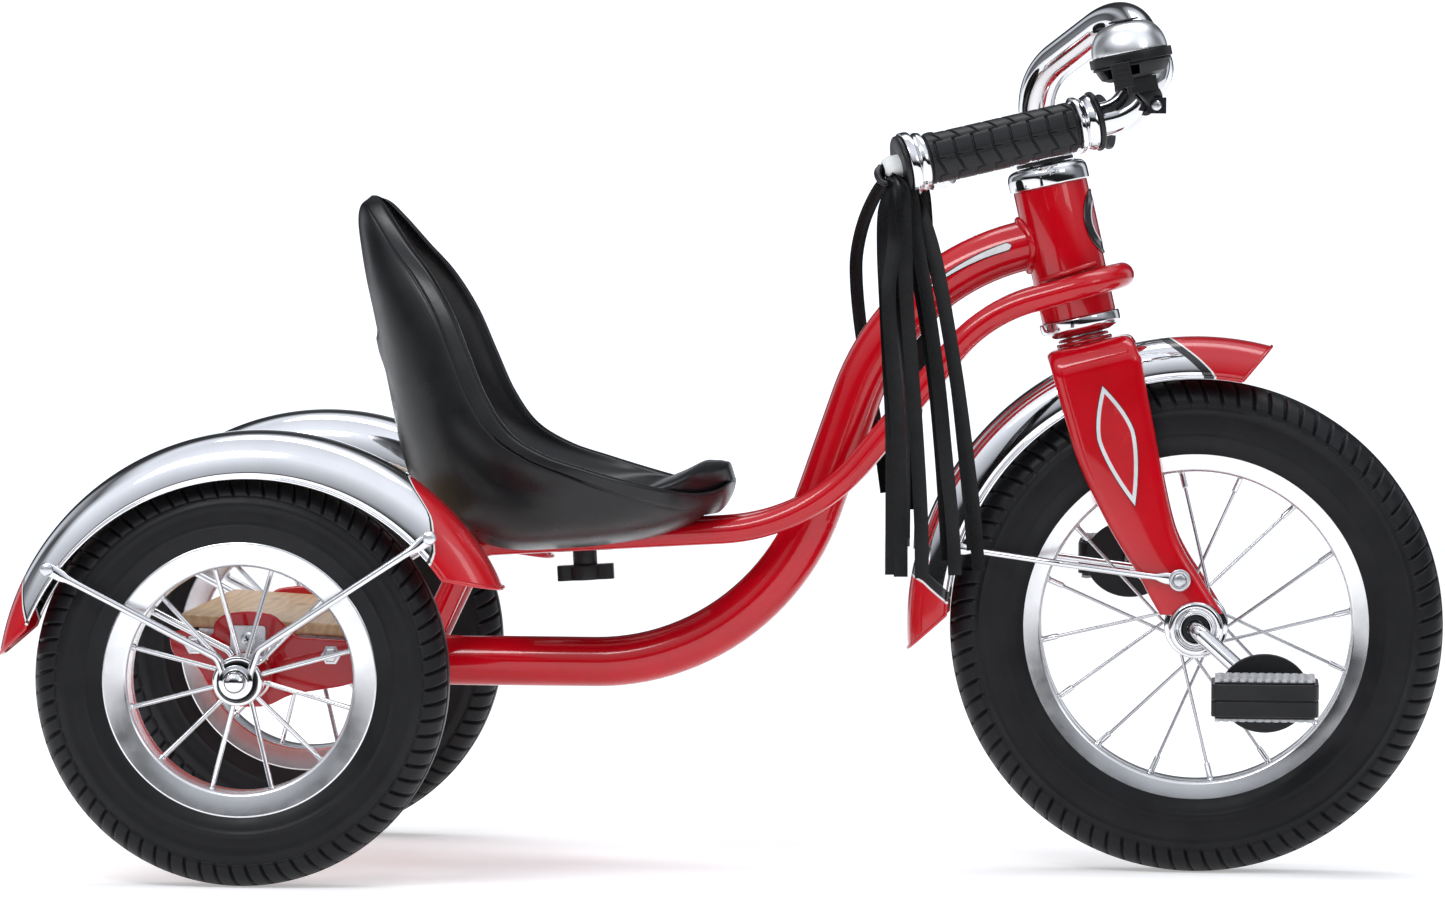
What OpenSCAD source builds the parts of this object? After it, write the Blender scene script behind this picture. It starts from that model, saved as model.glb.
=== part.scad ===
// Children's tricycle: front-drive, low curved frame, moulded bucket seat, rear step deck.
// Millimetres, +X forward, +Y left, +Z up, standing on Z = 0.

/* [Sizes] */
// front tyre outside radius
front_r = 157.5; // [140:0.5:170]
// rear tyre outside radius
rear_r = 129; // [115:0.5:140]
// distance between the axles
wheelbase = 590; // [540:1:640]
// half distance between the rear wheel middles
half_track = 205; // [180:1:230]
// head tube lean from upright
head_lean = 13; // [8:0.5:20]
// head tube length
head_len = 86; // [70:1:110]

/* [Tubes] */
// main tube radius
main_tr = 16; // [12:0.5:20]
// seat rail radius
rail_r = 8; // [6:0.5:10]
// seat rail half spacing
rail_y = 32.5; // [28:0.5:40]
// handlebar radius
bar_r = 10.5; // [9:0.5:13]
// head tube outside radius
head_r = 24; // [20:0.5:28]

/* [Wheels] */
// front tyre half width
front_tw = 26; // [20:1:30]
// rear tyre half width
rear_tw = 24; // [18:1:28]
// front rim outside radius
front_rim_r = 112; // [100:1:120]
// rear rim outside radius
rear_rim_r = 85; // [75:1:95]
// rear axle radius
axle_r = 5; // [4:0.5:7]
// front axle and crank radius
crank_r = 5.5; // [4:0.5:7]
// running clearance of the bores
run_gap = 0.05; // [0.01:0.01:0.1]

/* [Pedals] */
// crank length
crank_len = 58; // [50:1:80]
// crank angle below forward at rest
crank_drop = 41; // [0:1:90]

/* [Hidden] */
$fn = 48;
rear_tip = -151.0;
x_c = (wheelbase + front_r + rear_tip) / 2;
fx = wheelbase;
fz = front_r;
rz = rear_r;
hb = [513.2, 0, 354];
hl = head_lean;
rail_slope = 3.5;

function unit(v) = v / norm(v);
function half_angle(a, b) = acos(max(-1, min(1, a * b))) / 2;
function bend_in(P, R, i) = let(a = unit(P[i - 1] - P[i]), b = unit(P[i + 1] - P[i]))
  P[i] + a * R[i] / tan(half_angle(a, b));
function bend_out(P, R, i) = let(a = unit(P[i - 1] - P[i]), b = unit(P[i + 1] - P[i]))
  P[i] + b * R[i] / tan(half_angle(a, b));
function bend_mid(P, R, i) = let(a = unit(P[i - 1] - P[i]), b = unit(P[i + 1] - P[i]))
  P[i] + unit(a + b) * R[i] / sin(half_angle(a, b));
function side_of(w) = abs(w.z) < 0.9 ? unit(cross([0, 0, 1], w)) : unit(cross([0, 1, 0], w));

module frame_at(o, u, v, w) {
  multmatrix([[u.x, v.x, w.x, o.x], [u.y, v.y, w.y, o.y], [u.z, v.z, w.z, o.z], [0, 0, 0, 1]])
    children();
}

module along(p, d) {
  w = unit(d);
  u = side_of(w);
  frame_at(p, u, cross(w, u), w) children();
}

module rod(p, q, r) {
  along(p, q - p) cylinder(h = norm(q - p), r = r);
}

function bend_pts(P, R, i, step) = let(c = bend_mid(P, R, i), a = unit(bend_in(P, R, i) - c),
  b = unit(bend_out(P, R, i) - c), t = 2 * half_angle(a, b), m = max(2, ceil(t / step)))
  [for (k = [0 : m]) c + R[i] * (sin(t * (1 - k / m)) * a + sin(t * k / m) * b) / sin(t)];
function bend_path(P, R, step) = concat([P[0]],
  [for (i = [1 : len(P) - 2]) for (q = bend_pts(P, R, i, step)) q], [P[len(P) - 1]]);
function heading(Q, i) = i == 0 ? unit(Q[1] - Q[0]) : i == len(Q) - 1 ? unit(Q[i] - Q[i - 1])
  : unit(unit(Q[i + 1] - Q[i]) + unit(Q[i] - Q[i - 1]));
function carried(Q, i, u) = let(t = heading(Q, i), v = unit(u - (u * t) * t))
  i == len(Q) - 1 ? [v] : concat([v], carried(Q, i + 1, v));

// Round bar through the points P, bent to the radii R at the inner ones, as one swept skin.
module bent(P, R, r, sides = 20, step = 9) {
  Q = bend_path(P, R, step);
  n = len(Q);
  U = carried(Q, 0, side_of(heading(Q, 0)));
  polyhedron([for (i = [0 : n - 1]) let(t = heading(Q, i), u = U[i], v = cross(t, u))
      for (k = [0 : sides - 1]) Q[i] + r * (cos(k * 360 / sides) * u + sin(k * 360 / sides) * v)],
    concat([[for (k = [0 : sides - 1]) k]],
      [for (i = [0 : n - 2], k = [0 : sides - 1]) let(a = i * sides + k,
        b = i * sides + (k + 1) % sides) [a, a + sides, b]],
      [for (i = [0 : n - 2], k = [0 : sides - 1]) let(a = i * sides + k,
        b = i * sides + (k + 1) % sides) [b, a + sides, b + sides]],
      [[for (k = [sides - 1 : -1 : 0]) (n - 1) * sides + k]]));
}

module place() {
  translate([-x_c, 0, 0]) children();
}

// Local frame of the head tube: origin at its lower end, Z up the steering axis.
module head() {
  translate(hb) rotate([0, -hl, 0]) children();
}

module both() {
  children();
  mirror([0, 1, 0]) children();
}

module disc_y(x, y, z, r, h) {
  translate([x, y, z]) rotate([90, 0, 0]) cylinder(h = h, r = r, center = true);
}

// ---------------------------------------------------------------- frame
module main_tube() color([0.78, 0.02, 0.06]) place() difference() {
  bent([[10, 0, rz + 0.5], [311.9, 0, rz + 0.5], [397.4, 0, 377.8], [509, 0, 407.7]],
    [0, 150, 150, 0], main_tr, 32, 5);
  head() translate([0, 0, -5]) cylinder(h = head_len + 10, r = head_r + 0.3);
  disc_y(0, 0, rz, 18.3, 60);
}

function rail_line(s) = [
  [90, s * rail_y, 122.9], [128.4, s * rail_y, 205.9], [341.2, s * rail_y, 218.9],
  [453.9, s * rail_y, 356.4], [540.3, s * rail_y, 381.2]];

module seat_rails() color([0.78, 0.02, 0.06]) place() difference() {
  bent([for (i = [0 : 4]) rail_line(-1)[i], [540.3, rail_y, 381.2], rail_line(1)[3],
    rail_line(1)[2], rail_line(1)[1], rail_line(1)[0]],
    [0, 22, 125, 100, 32, 32, 100, 125, 22, 0], rail_r, 20, 11);
  translate([50, -60, 100]) cube([100, 120, 36.2]);
}

module head_tube() color([0.78, 0.02, 0.06]) place() head() difference() {
  cylinder(h = head_len, r = head_r);
  translate([0, 0, -1]) cylinder(h = head_len + 2, r = head_r - 3);
}

module upper_cup() color([0.8, 0.8, 0.82]) place() head() translate([0, 0, head_len])
  rotate_extrude() polygon([[15, 0], [26, 0], [26, 8], [25.2, 10.6], [23, 12.6], [20, 13.6],
    [15, 14]]);

module lower_cup() color([0.8, 0.8, 0.82]) place() head() rotate_extrude()
  polygon([[15, 0], [26, 0], [26, -5.5], [25, -7.5], [22, -9.3], [18, -11], [15, -11.5]]);

module head_badge() color([0.75, 0.75, 0.78]) place() head() intersection() {
  translate([0, 0, 20]) difference() {
    cylinder(h = 60, r = head_r + 1.3);
    translate([0, 0, -1]) cylinder(h = 62, r = head_r + 0.02);
  }
  translate([0, 0, 57.5]) rotate([0, 90, 0]) linear_extrude(40)
    polygon([for (a = [0 : 15 : 345]) [21.5 * cos(a), 19.5 * sin(a)]]);
}

module rear_gusset() color([0.78, 0.02, 0.06]) place() difference() {
  translate([72, -42, 100]) cube([32, 84, 36]);
  translate([60, 0, rz + 0.5]) rotate([0, 90, 0]) cylinder(h = 80, r = main_tr + 0.3);
}

module deck_at() {
  translate([12, 0, 162.5]) rotate([0, 3.3, 0]) children();
}

module carrier_plate() {
  translate([0, -152, 0]) rotate([90, 0, 0]) linear_extrude(4) difference() {
    union() {
      polygon([[-52, 152], [-46, 156], [-24, 152], [-18, 148], [18, 148], [28, 152], [68, 150],
        [72, 144], [72, 118], [60, 114], [18, 108], [-14, 110], [-32, 128], [-50, 138]]);
      translate([-2, 146]) circle(22);
    }
    translate([0, rz]) circle(axle_r + 0.2);
  }
}

module axle_carrier() color([0.78, 0.02, 0.06]) place() {
  difference() {
    union() {
      disc_y(0, 0, rz, 18, 304);
      both() carrier_plate();
      both() deck_at() translate([24, -152, -17.4]) cube([30, 34, 4]);
      both() deck_at() translate([-54, -152, -17.4]) cube([26, 34, 4]);
    }
    disc_y(0, 0, rz, axle_r + 0.2, 400);
  }
}

module rear_axle() color([0.7, 0.7, 0.72]) place() disc_y(0, 0, rz, axle_r, 498);

module axle_nuts() color([0.7, 0.7, 0.72]) place() both() {
  translate([0, -(half_track + 38.6), rz]) rotate([90, 0, 0]) rotate_extrude()
    polygon([[axle_r + 0.02, 0], [10.5, 0], [10.5, 1.6], [8, 1.8], [8, 4.5], [axle_r + 0.02, 4.5]]);
  translate([0, -(half_track + 44.6), rz]) rotate([90, 0, 0]) rotate_extrude()
    polygon([[0, 0.4], [6.6, 0.4], [6.6, 3], [5.6, 5], [3.4, 6.2], [0, 6.6]]);
}

module axle_tabs() color([0.72, 0.72, 0.74]) place() both() {
  translate([-13, -158.5, 139]) rotate([90, 0, 0]) translate([0, 0, -2.2]) linear_extrude(2.2)
    polygon([[0, 4], [1.2, 1.2], [4, 0], [18, 0], [20.8, 1.2], [22, 4], [22, 20], [0, 20]]);
  disc_y(-2, -159.7, 150.5, 4.6, 2.3);
}

module step_deck() color([0.8, 0.62, 0.42]) place() deck_at() translate([0, 0, -8])
  linear_extrude(8) polygon([[-54, -150], [54, -150], [58, -146], [58, 146], [54, 150],
    [-54, 150], [-58, 146], [-58, -146]]);

module deck_rails() color([0.72, 0.72, 0.74]) place() deck_at() both()
  translate([-46, -146, -13.2]) difference() {
    cube([92, 18, 5]);
    translate([-1, 2, -1]) cube([94, 14, 4]);
  }

module deck_caps() color([0.05, 0.05, 0.05]) place() deck_at() both()
  for (x = [-52, 46.2]) translate([x, -146, -13.2]) cube([5.8, 18, 5]);

// ---------------------------------------------------------------- mudguards
function arch(rc, depth, w, t, n = 3) = [
  for (k = [-14 : 14]) let(y = w * sin(k * 90 / 14), q = pow(abs(y) / w, n))
    [rc - depth + depth * pow(max(0, 1 - q), 1 / n), y],
  for (k = [-14 : 14]) let(y = -(w - t) * sin(k * 90 / 14), q = pow(abs(y) / (w - t), n))
    [rc - depth + (depth - t) * pow(max(0, 1 - q), 1 / n), y]];

module guard(x, z, rc, depth, w, a0, a1) {
  translate([x, 0, z]) rotate([90, 0, 0]) rotate([0, 0, a0]) rotate_extrude(angle = a1 - a0)
    polygon(arch(rc, depth, w, 1.2));
}

// Half space cut: everything on the far side of the line p to q, seen from the right side.
module cut(p, q) {
  d = q - p;
  translate([p.x, 0, p.y]) rotate([0, -atan2(d.y, d.x), 0]) translate([-60, -60, -90])
    cube([150, 120, 90]);
}

function skirt_y(r, rc, depth, w) = w * pow(1 - pow((r - rc + depth) / depth, 3), 1 / 3);

module rear_guard() {
  difference() {
    guard(11.9, 119.1, 164.5, 42, 32, 5, 180);
    disc_y(6, 0, 106.6, 148.3, 100);
    cut([126, 193], [163, 187]);
    cut([-153.4, 140.2], [-132, 159.6]);
  }
}

module rear_fender_right() color([0.8, 0.8, 0.82]) place() translate([0, -half_track, 0])
  rear_guard();
module rear_fender_left() color([0.8, 0.8, 0.82]) place() translate([0, half_track, 0])
  rear_guard();

bolt_a = [-118.2, 197.2];
bolt_b = [119, 219];
function bolt_y(p) = skirt_y(norm(p - [11.9, 119.1]) - 8, 164.5, 42, 32) + 0.2;

module stay_loop(y, s) {
  ya = y + s * (bolt_y(bolt_a) + 2.6);
  yb = y + s * (bolt_y(bolt_b) + 2.6);
  ym = y + s * 35.8;
  bent([[-111.5, ya, 193.9], [-11.6, ym, 143.6], [-7.8, ym, rz + 4], [-7.8, ym, rz - 7.8],
    [7.8, ym, rz - 7.8], [7.8, ym, rz + 4], [13, ym, 148.6], [113.2, yb, 215.1]],
    [0, 8, 12, 7.7, 7.7, 12, 8, 0], 2.4, 12, 18);
}

module fender_stays_right() color([0.8, 0.8, 0.82]) place() {
  stay_loop(-half_track, -1);
  stay_loop(-half_track, 1);
}
module fender_stays_left() color([0.8, 0.8, 0.82]) place() {
  stay_loop(half_track, -1);
  stay_loop(half_track, 1);
}

module fender_bolts() color([0.72, 0.72, 0.74]) place() both()
  for (p = [bolt_a, bolt_b], s = [-1, 1])
    disc_y(p.x, -half_track + s * (bolt_y(p) + 1.8), p.y, 3.8, 3.4);

// ---------------------------------------------------------------- fork and steering
blade_l = [[492.6, 341], [493.4, 330], [499.7, 309.5], [506.3, 287], [513.5, 264], [523.5, 242],
  [534.9, 220], [544, 205], [553, 191], [560, 178], [567, 166]];
blade_r = [[547.5, 345], [552, 333], [558, 310], [561.8, 287], [566.2, 264], [570.5, 242],
  [576.1, 220], [583, 205], [592, 191], [600, 178.5], [607, 167]];
blade_in = 31.5;
blade_out = 43;

function blade_loop(i) = let(l = blade_l[i], r = blade_r[i], m = (l + r) / 2, h = (r - l) / 2)
  [for (k = [0 : 15]) let(a = k * 22.5, c = cos(a), s = sin(a),
    cx = sign(c) * pow(abs(c), 0.55), cy = sign(s) * pow(abs(s), 0.7))
    [m.x + h.x * cx, -(blade_in + blade_out) / 2 + (blade_out - blade_in) / 2 * cy,
      m.y + h.y * cx]];

module blade() {
  n = len(blade_l);
  pts = [for (i = [0 : n - 1]) for (p = blade_loop(i)) p];
  polyhedron(pts, concat(
    [[for (k = [15 : -1 : 0]) k]],
    [for (i = [0 : n - 2], k = [0 : 15]) let(a = i * 16 + k, b = i * 16 + (k + 1) % 16)
      [a, b, a + 16]],
    [for (i = [0 : n - 2], k = [0 : 15]) let(a = i * 16 + k, b = i * 16 + (k + 1) % 16)
      [b, b + 16, a + 16]],
    [[for (k = [0 : 15]) (n - 1) * 16 + k]]));
}

module fork() color([0.78, 0.02, 0.06]) place() difference() {
  union() {
    both() blade();
    head() translate([0, 0, -26]) linear_extrude(9) polygon([[-27, -36], [-22, -41], [22, -41],
      [27, -36], [27, 36], [22, 41], [-22, 41], [-27, 36]]);
  }
  head() translate([0, 0, -40]) cylinder(h = 40, r = 12.75);
  disc_y(fx, 0, fz, 187, 61);
  disc_y(fx, 0, fz, 18.2, 120);
}

module steerer() color([0.7, 0.7, 0.72]) place() head() translate([0, 0, -23.6])
  cylinder(h = 127.1, r = 12.7);

module crown_washers() color([0.78, 0.02, 0.06]) place() head() for (z = [-14.2, -16.9])
  translate([0, 0, z]) difference() {
    cylinder(h = 2.4, r = z > -15 ? 16.5 : 18);
    translate([0, 0, -1]) cylinder(h = 5, r = 12.75);
  }

module front_fender() color([0.8, 0.8, 0.82]) place() difference() {
  guard(fx, fz, 185, 30, 29.5, 70, 190);
  disc_y(fx, 0, fz, 159.5, 100);
  cut([fx + 28, fz + 157], [fx + 46, fz + 178]);
  cut([fx - 184.5, fz - 16.4], [fx - 158.5, fz + 7]);
}

module front_stays() color([0.8, 0.8, 0.82]) place() both()
  bent([[435, -32.6, 206.8], [455, -34.2, 204.4], [505, -46.2, 198], [572.2, -46.2, 189.3]],
    [0, 20, 20, 0], 2.1, 12, 9);

module front_bolts() color([0.72, 0.72, 0.74]) place() both() {
  difference() {
    disc_y(579.5, -46.2, 188.4, 7, 4.4);
    disc_y(579.5, -46.2, 188.4, 4.2, 6);
  }
  disc_y(579.5, -46.6, 188.4, 4, 6.2);
  disc_y(431, -31.2, 207.4, 3.6, 3.4);
}

module hub_cups() color([0.8, 0.8, 0.82]) place() both()
  translate([fx, -36, fz]) rotate([90, 0, 0]) rotate_extrude()
    polygon([[crank_r + run_gap, 0], [17.6, 0], [17.6, 9], [16.6, 11.4], [14, 12.6], [12, 11.2],
      [crank_r + run_gap, 11.2]]);

module stem_seal() color([0.05, 0.05, 0.05]) place() head() translate([0, 0, head_len + 14.2])
  difference() {
    cylinder(h = 2.4, r = 18.5);
    translate([0, 0, -1]) cylinder(h = 5, r = 12.75);
  }

module stem_nut() color([0.8, 0.8, 0.82]) place() head() translate([0, 0, head_len + 16.8])
  difference() {
    union() {
      cylinder(h = 8, r = 20);
      rod([0, -22, 17.2], [0, 22, 17.2], 14.5);
    }
    translate([0, 0, -4]) cylinder(h = 5, r = 12.75);
    rod([0, -25, 17.2], [0, 25, 17.2], bar_r + 0.02);
  }

stem_mid = hb + (head_len + 34) * [-sin(hl), 0, cos(hl)];
grip_a = [519, -207, 477.5];
grip_b = [409, -240, 451];
grip_d = unit(grip_b - grip_a);

module handlebar() color([0.8, 0.8, 0.82]) place()
  bent([grip_b, [540, -200.7, 482.6], [563, -184, 512], [543, -126, 551.5], [483, -64, 506],
    [stem_mid.x, -40, stem_mid.z], [stem_mid.x, 40, stem_mid.z], [483, 64, 506],
    [543, 126, 551.5], [563, 184, 512], [540, 200.7, 482.6], [grip_b.x, -grip_b.y, grip_b.z]],
    [0, 26, 22, 28, 45, 20, 20, 45, 28, 22, 26, 0], bar_r);

module grip_side(s) {
  mirror([0, s > 0 ? 1 : 0, 0]) along(grip_a, grip_d) children();
}

module grip() {
  difference() {
    union() {
      translate([0, 0, 7]) cylinder(h = 98, r = 14);
      for (i = [0 : 7]) translate([0, 0, 9 + i * 12.1]) cylinder(h = 10.6, r = 15.4);
    }
    translate([0, 0, 5]) cylinder(h = 130, r = bar_r + 0.05);
  }
}

module grip_right() color([0.05, 0.05, 0.05]) place() grip_side(-1) grip();
module grip_left() color([0.05, 0.05, 0.05]) place() grip_side(1) grip();

module grip_rings() color([0.8, 0.8, 0.82]) place() for (s = [-1, 1]) grip_side(s) {
  rotate_extrude() polygon([[bar_r + 0.05, -5], [17, -5], [17.4, -3], [16, 0], [15.6, 1.5],
    [17.6, 4], [17.8, 6.8], [bar_r + 0.05, 6.8]]);
  rotate_extrude() polygon([[bar_r + 0.05, 105.2], [17.6, 105.2], [18.2, 108], [17.2, 110],
    [19.6, 112], [20, 114.2], [19.8, 117.6], [bar_r + 0.05, 117.6]]);
}

module grip_flanges() color([0.05, 0.05, 0.05]) place() for (s = [-1, 1]) grip_side(s) {
  translate([0, 0, 118.1]) difference() {
    cylinder(h = 3, r = 18.6);
    translate([0, 0, -1]) cylinder(h = 5, r = 7.9);
  }
  translate([0, 0, -8.2]) difference() {
    cylinder(h = 3, r = 18.6);
    translate([0, 0, -1]) cylinder(h = 5, r = bar_r + 0.05);
  }
}

module grip_plugs() color([0.9, 0.9, 0.88]) place() for (s = [-1, 1]) grip_side(s)
  rotate_extrude() polygon([[0, 118], [7.6, 118], [7.6, 126], [6.8, 129.5], [4.6, 131.6],
    [0, 132.4]]);

function tassel_loop(c, a, b) = [for (k = [0 : 11]) [c.x + a * cos(k * 30), c.y + b * sin(k * 30),
  c.z]];
tassel_path = [[406.5, -252, 433.5], [407, -254, 420], [409, -252, 390], [412, -249, 340],
  [416, -247, 290], [420, -246, 240], [422, -246, 198]];
tassel_a = [8, 12, 17, 21, 24, 27, 28];
tassel_b = [5, 7, 10, 12, 14, 15, 16];

module tassel() {
  n = len(tassel_path);
  pts = [for (i = [0 : n - 1]) for (p = tassel_loop(tassel_path[i], tassel_a[i], tassel_b[i])) p];
  polyhedron(pts, concat([[for (k = [11 : -1 : 0]) k]],
    [for (i = [0 : n - 2], k = [0 : 11]) let(a = i * 12 + k, b = i * 12 + (k + 1) % 12)
      [a, b, b + 12, a + 12]],
    [[for (k = [0 : 11]) (n - 1) * 12 + k]]));
}

module tassel_right() color([0.03, 0.03, 0.03]) place() tassel();
module tassel_left() color([0.03, 0.03, 0.03]) place() mirror([0, 1, 0]) tassel();

// ---------------------------------------------------------------- bell
bell_tilt = 12;
module bell_at() {
  translate([546.6, -217.5, 520.3]) rotate([0, -bell_tilt, 0]) children();
}

module bell_dome() color([0.75, 0.75, 0.77]) place() bell_at() rotate_extrude()
  polygon(concat([for (a = [0 : 10 : 90]) [23.6 * pow(cos(a), 0.62), 1 + 19.4 * sin(a)]],
    [for (a = [90 : -10 : 0]) [22.4 * pow(cos(a), 0.62), 1 + 18.2 * sin(a)]]));

module bell_cap() color([0.1, 0.1, 0.1]) place() bell_at() translate([0, 0, 20.45])
  cylinder(h = 1.2, r = 9.4);

module bell_base() color([0.05, 0.05, 0.05]) place() bell_at() {
  bell_cup();
  translate([-6, -8.5, -14]) cylinder(h = 9.6, r = 2);
}

module bell_cup() difference() {
  rotate_extrude() polygon([[0, -15], [17, -15], [21, -12.5], [23.4, -6], [25.6, -5], [25.6, 0.6],
    [24.1, 0.6], [24.1, -3], [0, -3]]);
  translate([-17, -27, -12.6]) cube([21, 21, 9.8]);
  translate([-6, -8.5, -13]) cylinder(h = 10.4, r = 6.6);
}

module bell_clamp() color([0.05, 0.05, 0.05]) place() difference() {
  union() {
    rod([555.6, -191, 501.5], [548, -196.4, 491.8], 14);
    bell_at() translate([-6, -9, -24.4]) cube([19, 32, 9.2]);
    translate([557, -204, 484]) cube([12, 14, 10]);
  }
  bent([grip_b, [540, -200.7, 482.6], [563, -184, 512], [543, -126, 551.5]], [0, 26, 22, 0],
    bar_r + 0.05);
  bell_at() translate([0, 0, -15.2]) cylinder(h = 40, r = 50);
}

// Trigger: a round boss on an upright pin, an arm out through the cup's slot and a thumb pad.
module bell_lever() color([0.05, 0.05, 0.05]) place() bell_at() {
  difference() {
    union() {
      translate([-6, -8.5, -11.6]) cylinder(h = 7.6, r = 6);
      translate([-11.5, -28, -11.6]) cube([8, 20, 7.6]);
    }
    translate([-6, -8.5, -15]) cylinder(h = 14, r = 2.05);
  }
  translate([-13, -33.5, -20]) cube([12, 6, 15.6]);
}

// ---------------------------------------------------------------- front wheel
function tyre_ring(r0, r1, w) = [for (a = [0 : 12 : 348]) let(c = cos(a), s = sin(a),
  rm = (r0 + r1) / 2, rh = (r1 - r0) / 2)
  [rm + rh * sign(c) * pow(abs(c), 0.78), w * sign(s) * pow(abs(s), 0.8)]];

module wheel_y(x, y, z) {
  translate([x, y, z]) rotate([90, 0, 0]) children();
}

module front_tyre() color([0.05, 0.05, 0.05]) place() wheel_y(fx, 0, fz) difference() {
  rotate_extrude($fn = 96) polygon(tyre_ring(102, front_r, front_tw));
  translate([0, 0, -40]) cylinder(h = 80, r = front_rim_r - 0.6);
}

module front_rim() color([0.8, 0.8, 0.82]) place() wheel_y(fx, 0, fz) rotate_extrude($fn = 96)
  polygon([[100, -9], [102, -14], [103.5, -19.5], [front_rim_r - 1, -19.5], [front_rim_r - 1, -17.5],
    [105.5, -17], [104.5, -12], [103, -8], [103, 8], [104.5, 12], [105.5, 17],
    [front_rim_r - 1, 17.5], [front_rim_r - 1, 19.5], [103.5, 19.5], [102, 14], [100, 9]]);

module front_spokes() color([0.8, 0.8, 0.82]) place() wheel_y(fx, 0, fz) for (i = [0 : 15]) {
  s = i % 2 == 0 ? 1 : -1;
  t = floor(i / 2) % 2 == 0 ? 1 : -1;
  a = i * 22.5 + 6;
  p = [15.5 * cos(a - t * 50), 15.5 * sin(a - t * 50), s * 13 + t * 1.3];
  q = [99.4 * cos(a), 99.4 * sin(a), s * 4 + t * 1.3];
  rod(p, q, 1.1);
  along(q, p - q) cylinder(h = 9, r = 1.9);
}

module front_hub() color([0.8, 0.8, 0.82]) place() wheel_y(fx, 0, fz) difference() {
  union() {
    cylinder(h = 60, r = 11, center = true);
    for (s = [-1, 1]) translate([0, 0, s * 17.5 - 1.2]) cylinder(h = 2.4, r = 20);
  }
  cylinder(h = 80, r = crank_r + 0.02, center = true);
}

pedal_dx = crank_len * cos(crank_drop);
pedal_dz = -crank_len * sin(crank_drop);

module crank_axle() color([0.8, 0.8, 0.82]) place() {
  disc_y(fx, 0, fz, crank_r, 106);
  for (t = [-1, 1]) {
    rod([fx, t * 53, fz], [fx - t * pedal_dx, t * 70, fz - t * pedal_dz], crank_r - 0.7);
    rod([fx - t * pedal_dx, t * 70, fz - t * pedal_dz],
      [fx - t * pedal_dx, t * 166, fz - t * pedal_dz], crank_r - 0.5);
    translate([fx, t * 53, fz]) sphere(crank_r + 0.6);
    translate([fx - t * pedal_dx, t * 70, fz - t * pedal_dz]) sphere(crank_r + 0.6);
  }
}

// ---------------------------------------------------------------- pedals
module pedal_core() {
  difference() {
    union() {
      translate([-33, -39, -8.5]) cube([66, 76, 17]);
      translate([-31, -39, -10.4]) cube([62, 76, 20.8]);
      rotate([90, 0, 0]) translate([0, 0, -43.5]) cylinder(h = 6.5, r = 25);
    }
    translate([-42, -45, -0.6]) cube([9.6, 82, 1.2]);
    translate([32.4, -45, -0.6]) cube([9.6, 82, 1.2]);
    rotate([90, 0, 0]) cylinder(h = 120, r = crank_r - 0.5 + run_gap, center = true);
  }
}

module pedal_tread_set() {
  for (s = [-1, 1]) translate([-32, -36, s > 0 ? 10.5 : -13.3]) difference() {
    cube([64, 70, 2.8]);
    for (x = [5.2 : 8 : 58]) translate([x, -1, s > 0 ? 1.2 : -1]) cube([2.2, 72, 2.4]);
  }
}

module pedal_at(s) {
  translate([fx - s * pedal_dx, s * 122, fz - s * pedal_dz]) mirror([0, s > 0 ? 1 : 0, 0])
    rotate([0, 0, 0]) children();
}

module pedal_right() color([0.05, 0.05, 0.05]) place() pedal_at(-1) pedal_core();
module pedal_left() color([0.05, 0.05, 0.05]) place() pedal_at(1) pedal_core();
module pedal_treads_right() color([0.3, 0.3, 0.3]) place() pedal_at(-1) pedal_tread_set();
module pedal_treads_left() color([0.3, 0.3, 0.3]) place() pedal_at(1) pedal_tread_set();

// ---------------------------------------------------------------- rear wheels
module rear_tyre() difference() {
  rotate_extrude($fn = 96) polygon(tyre_ring(76, rear_r, rear_tw));
  translate([0, 0, -40]) cylinder(h = 80, r = rear_rim_r - 0.6);
}

module rear_rim() {
  rotate_extrude($fn = 96) polygon([[71, -10], [72, -14], [73.5, -18.5], [rear_rim_r - 1, -18.5],
    [rear_rim_r - 1, -16.5], [75.5, -16], [74, -10], [74, 10], [75.5, 16],
    [rear_rim_r - 1, 16.5], [rear_rim_r - 1, 18.5], [73.5, 18.5], [72, 14], [71, 10]]);
  difference() {
    cylinder(h = 60, r = 15.5, center = true);
    cylinder(h = 80, r = 12.4, center = true);
  }
  for (i = [0 : 11]) {
    s = i % 2 == 0 ? 1 : -1;
    a = 15 + i * 30;
    rod([15.8 * cos(a), 15.8 * sin(a), s * 14], [70.7 * cos(a), 70.7 * sin(a), s * 3], 1.5);
  }
}

module rear_bush() difference() {
  cylinder(h = 62, r = 12.4, center = true);
  cylinder(h = 80, r = axle_r + run_gap, center = true);
  for (s = [-1, 1]) translate([0, 0, s * 29 - 3]) difference() {
    cylinder(h = 6, r = 11.2);
    translate([0, 0, -1]) cylinder(h = 8, r = 8);
  }
}

module rear_tyre_right() color([0.05, 0.05, 0.05]) place() wheel_y(0, -half_track, rz) rear_tyre();
module rear_tyre_left() color([0.05, 0.05, 0.05]) place() wheel_y(0, half_track, rz) rear_tyre();
module rear_rim_right() color([0.8, 0.8, 0.82]) place() wheel_y(0, -half_track, rz) rear_rim();
module rear_rim_left() color([0.8, 0.8, 0.82]) place() wheel_y(0, half_track, rz) rear_rim();
module rear_bush_right() color([0.1, 0.1, 0.1]) place() wheel_y(0, -half_track, rz) rear_bush();
module rear_bush_left() color([0.1, 0.1, 0.1]) place() wheel_y(0, half_track, rz) rear_bush();

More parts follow.
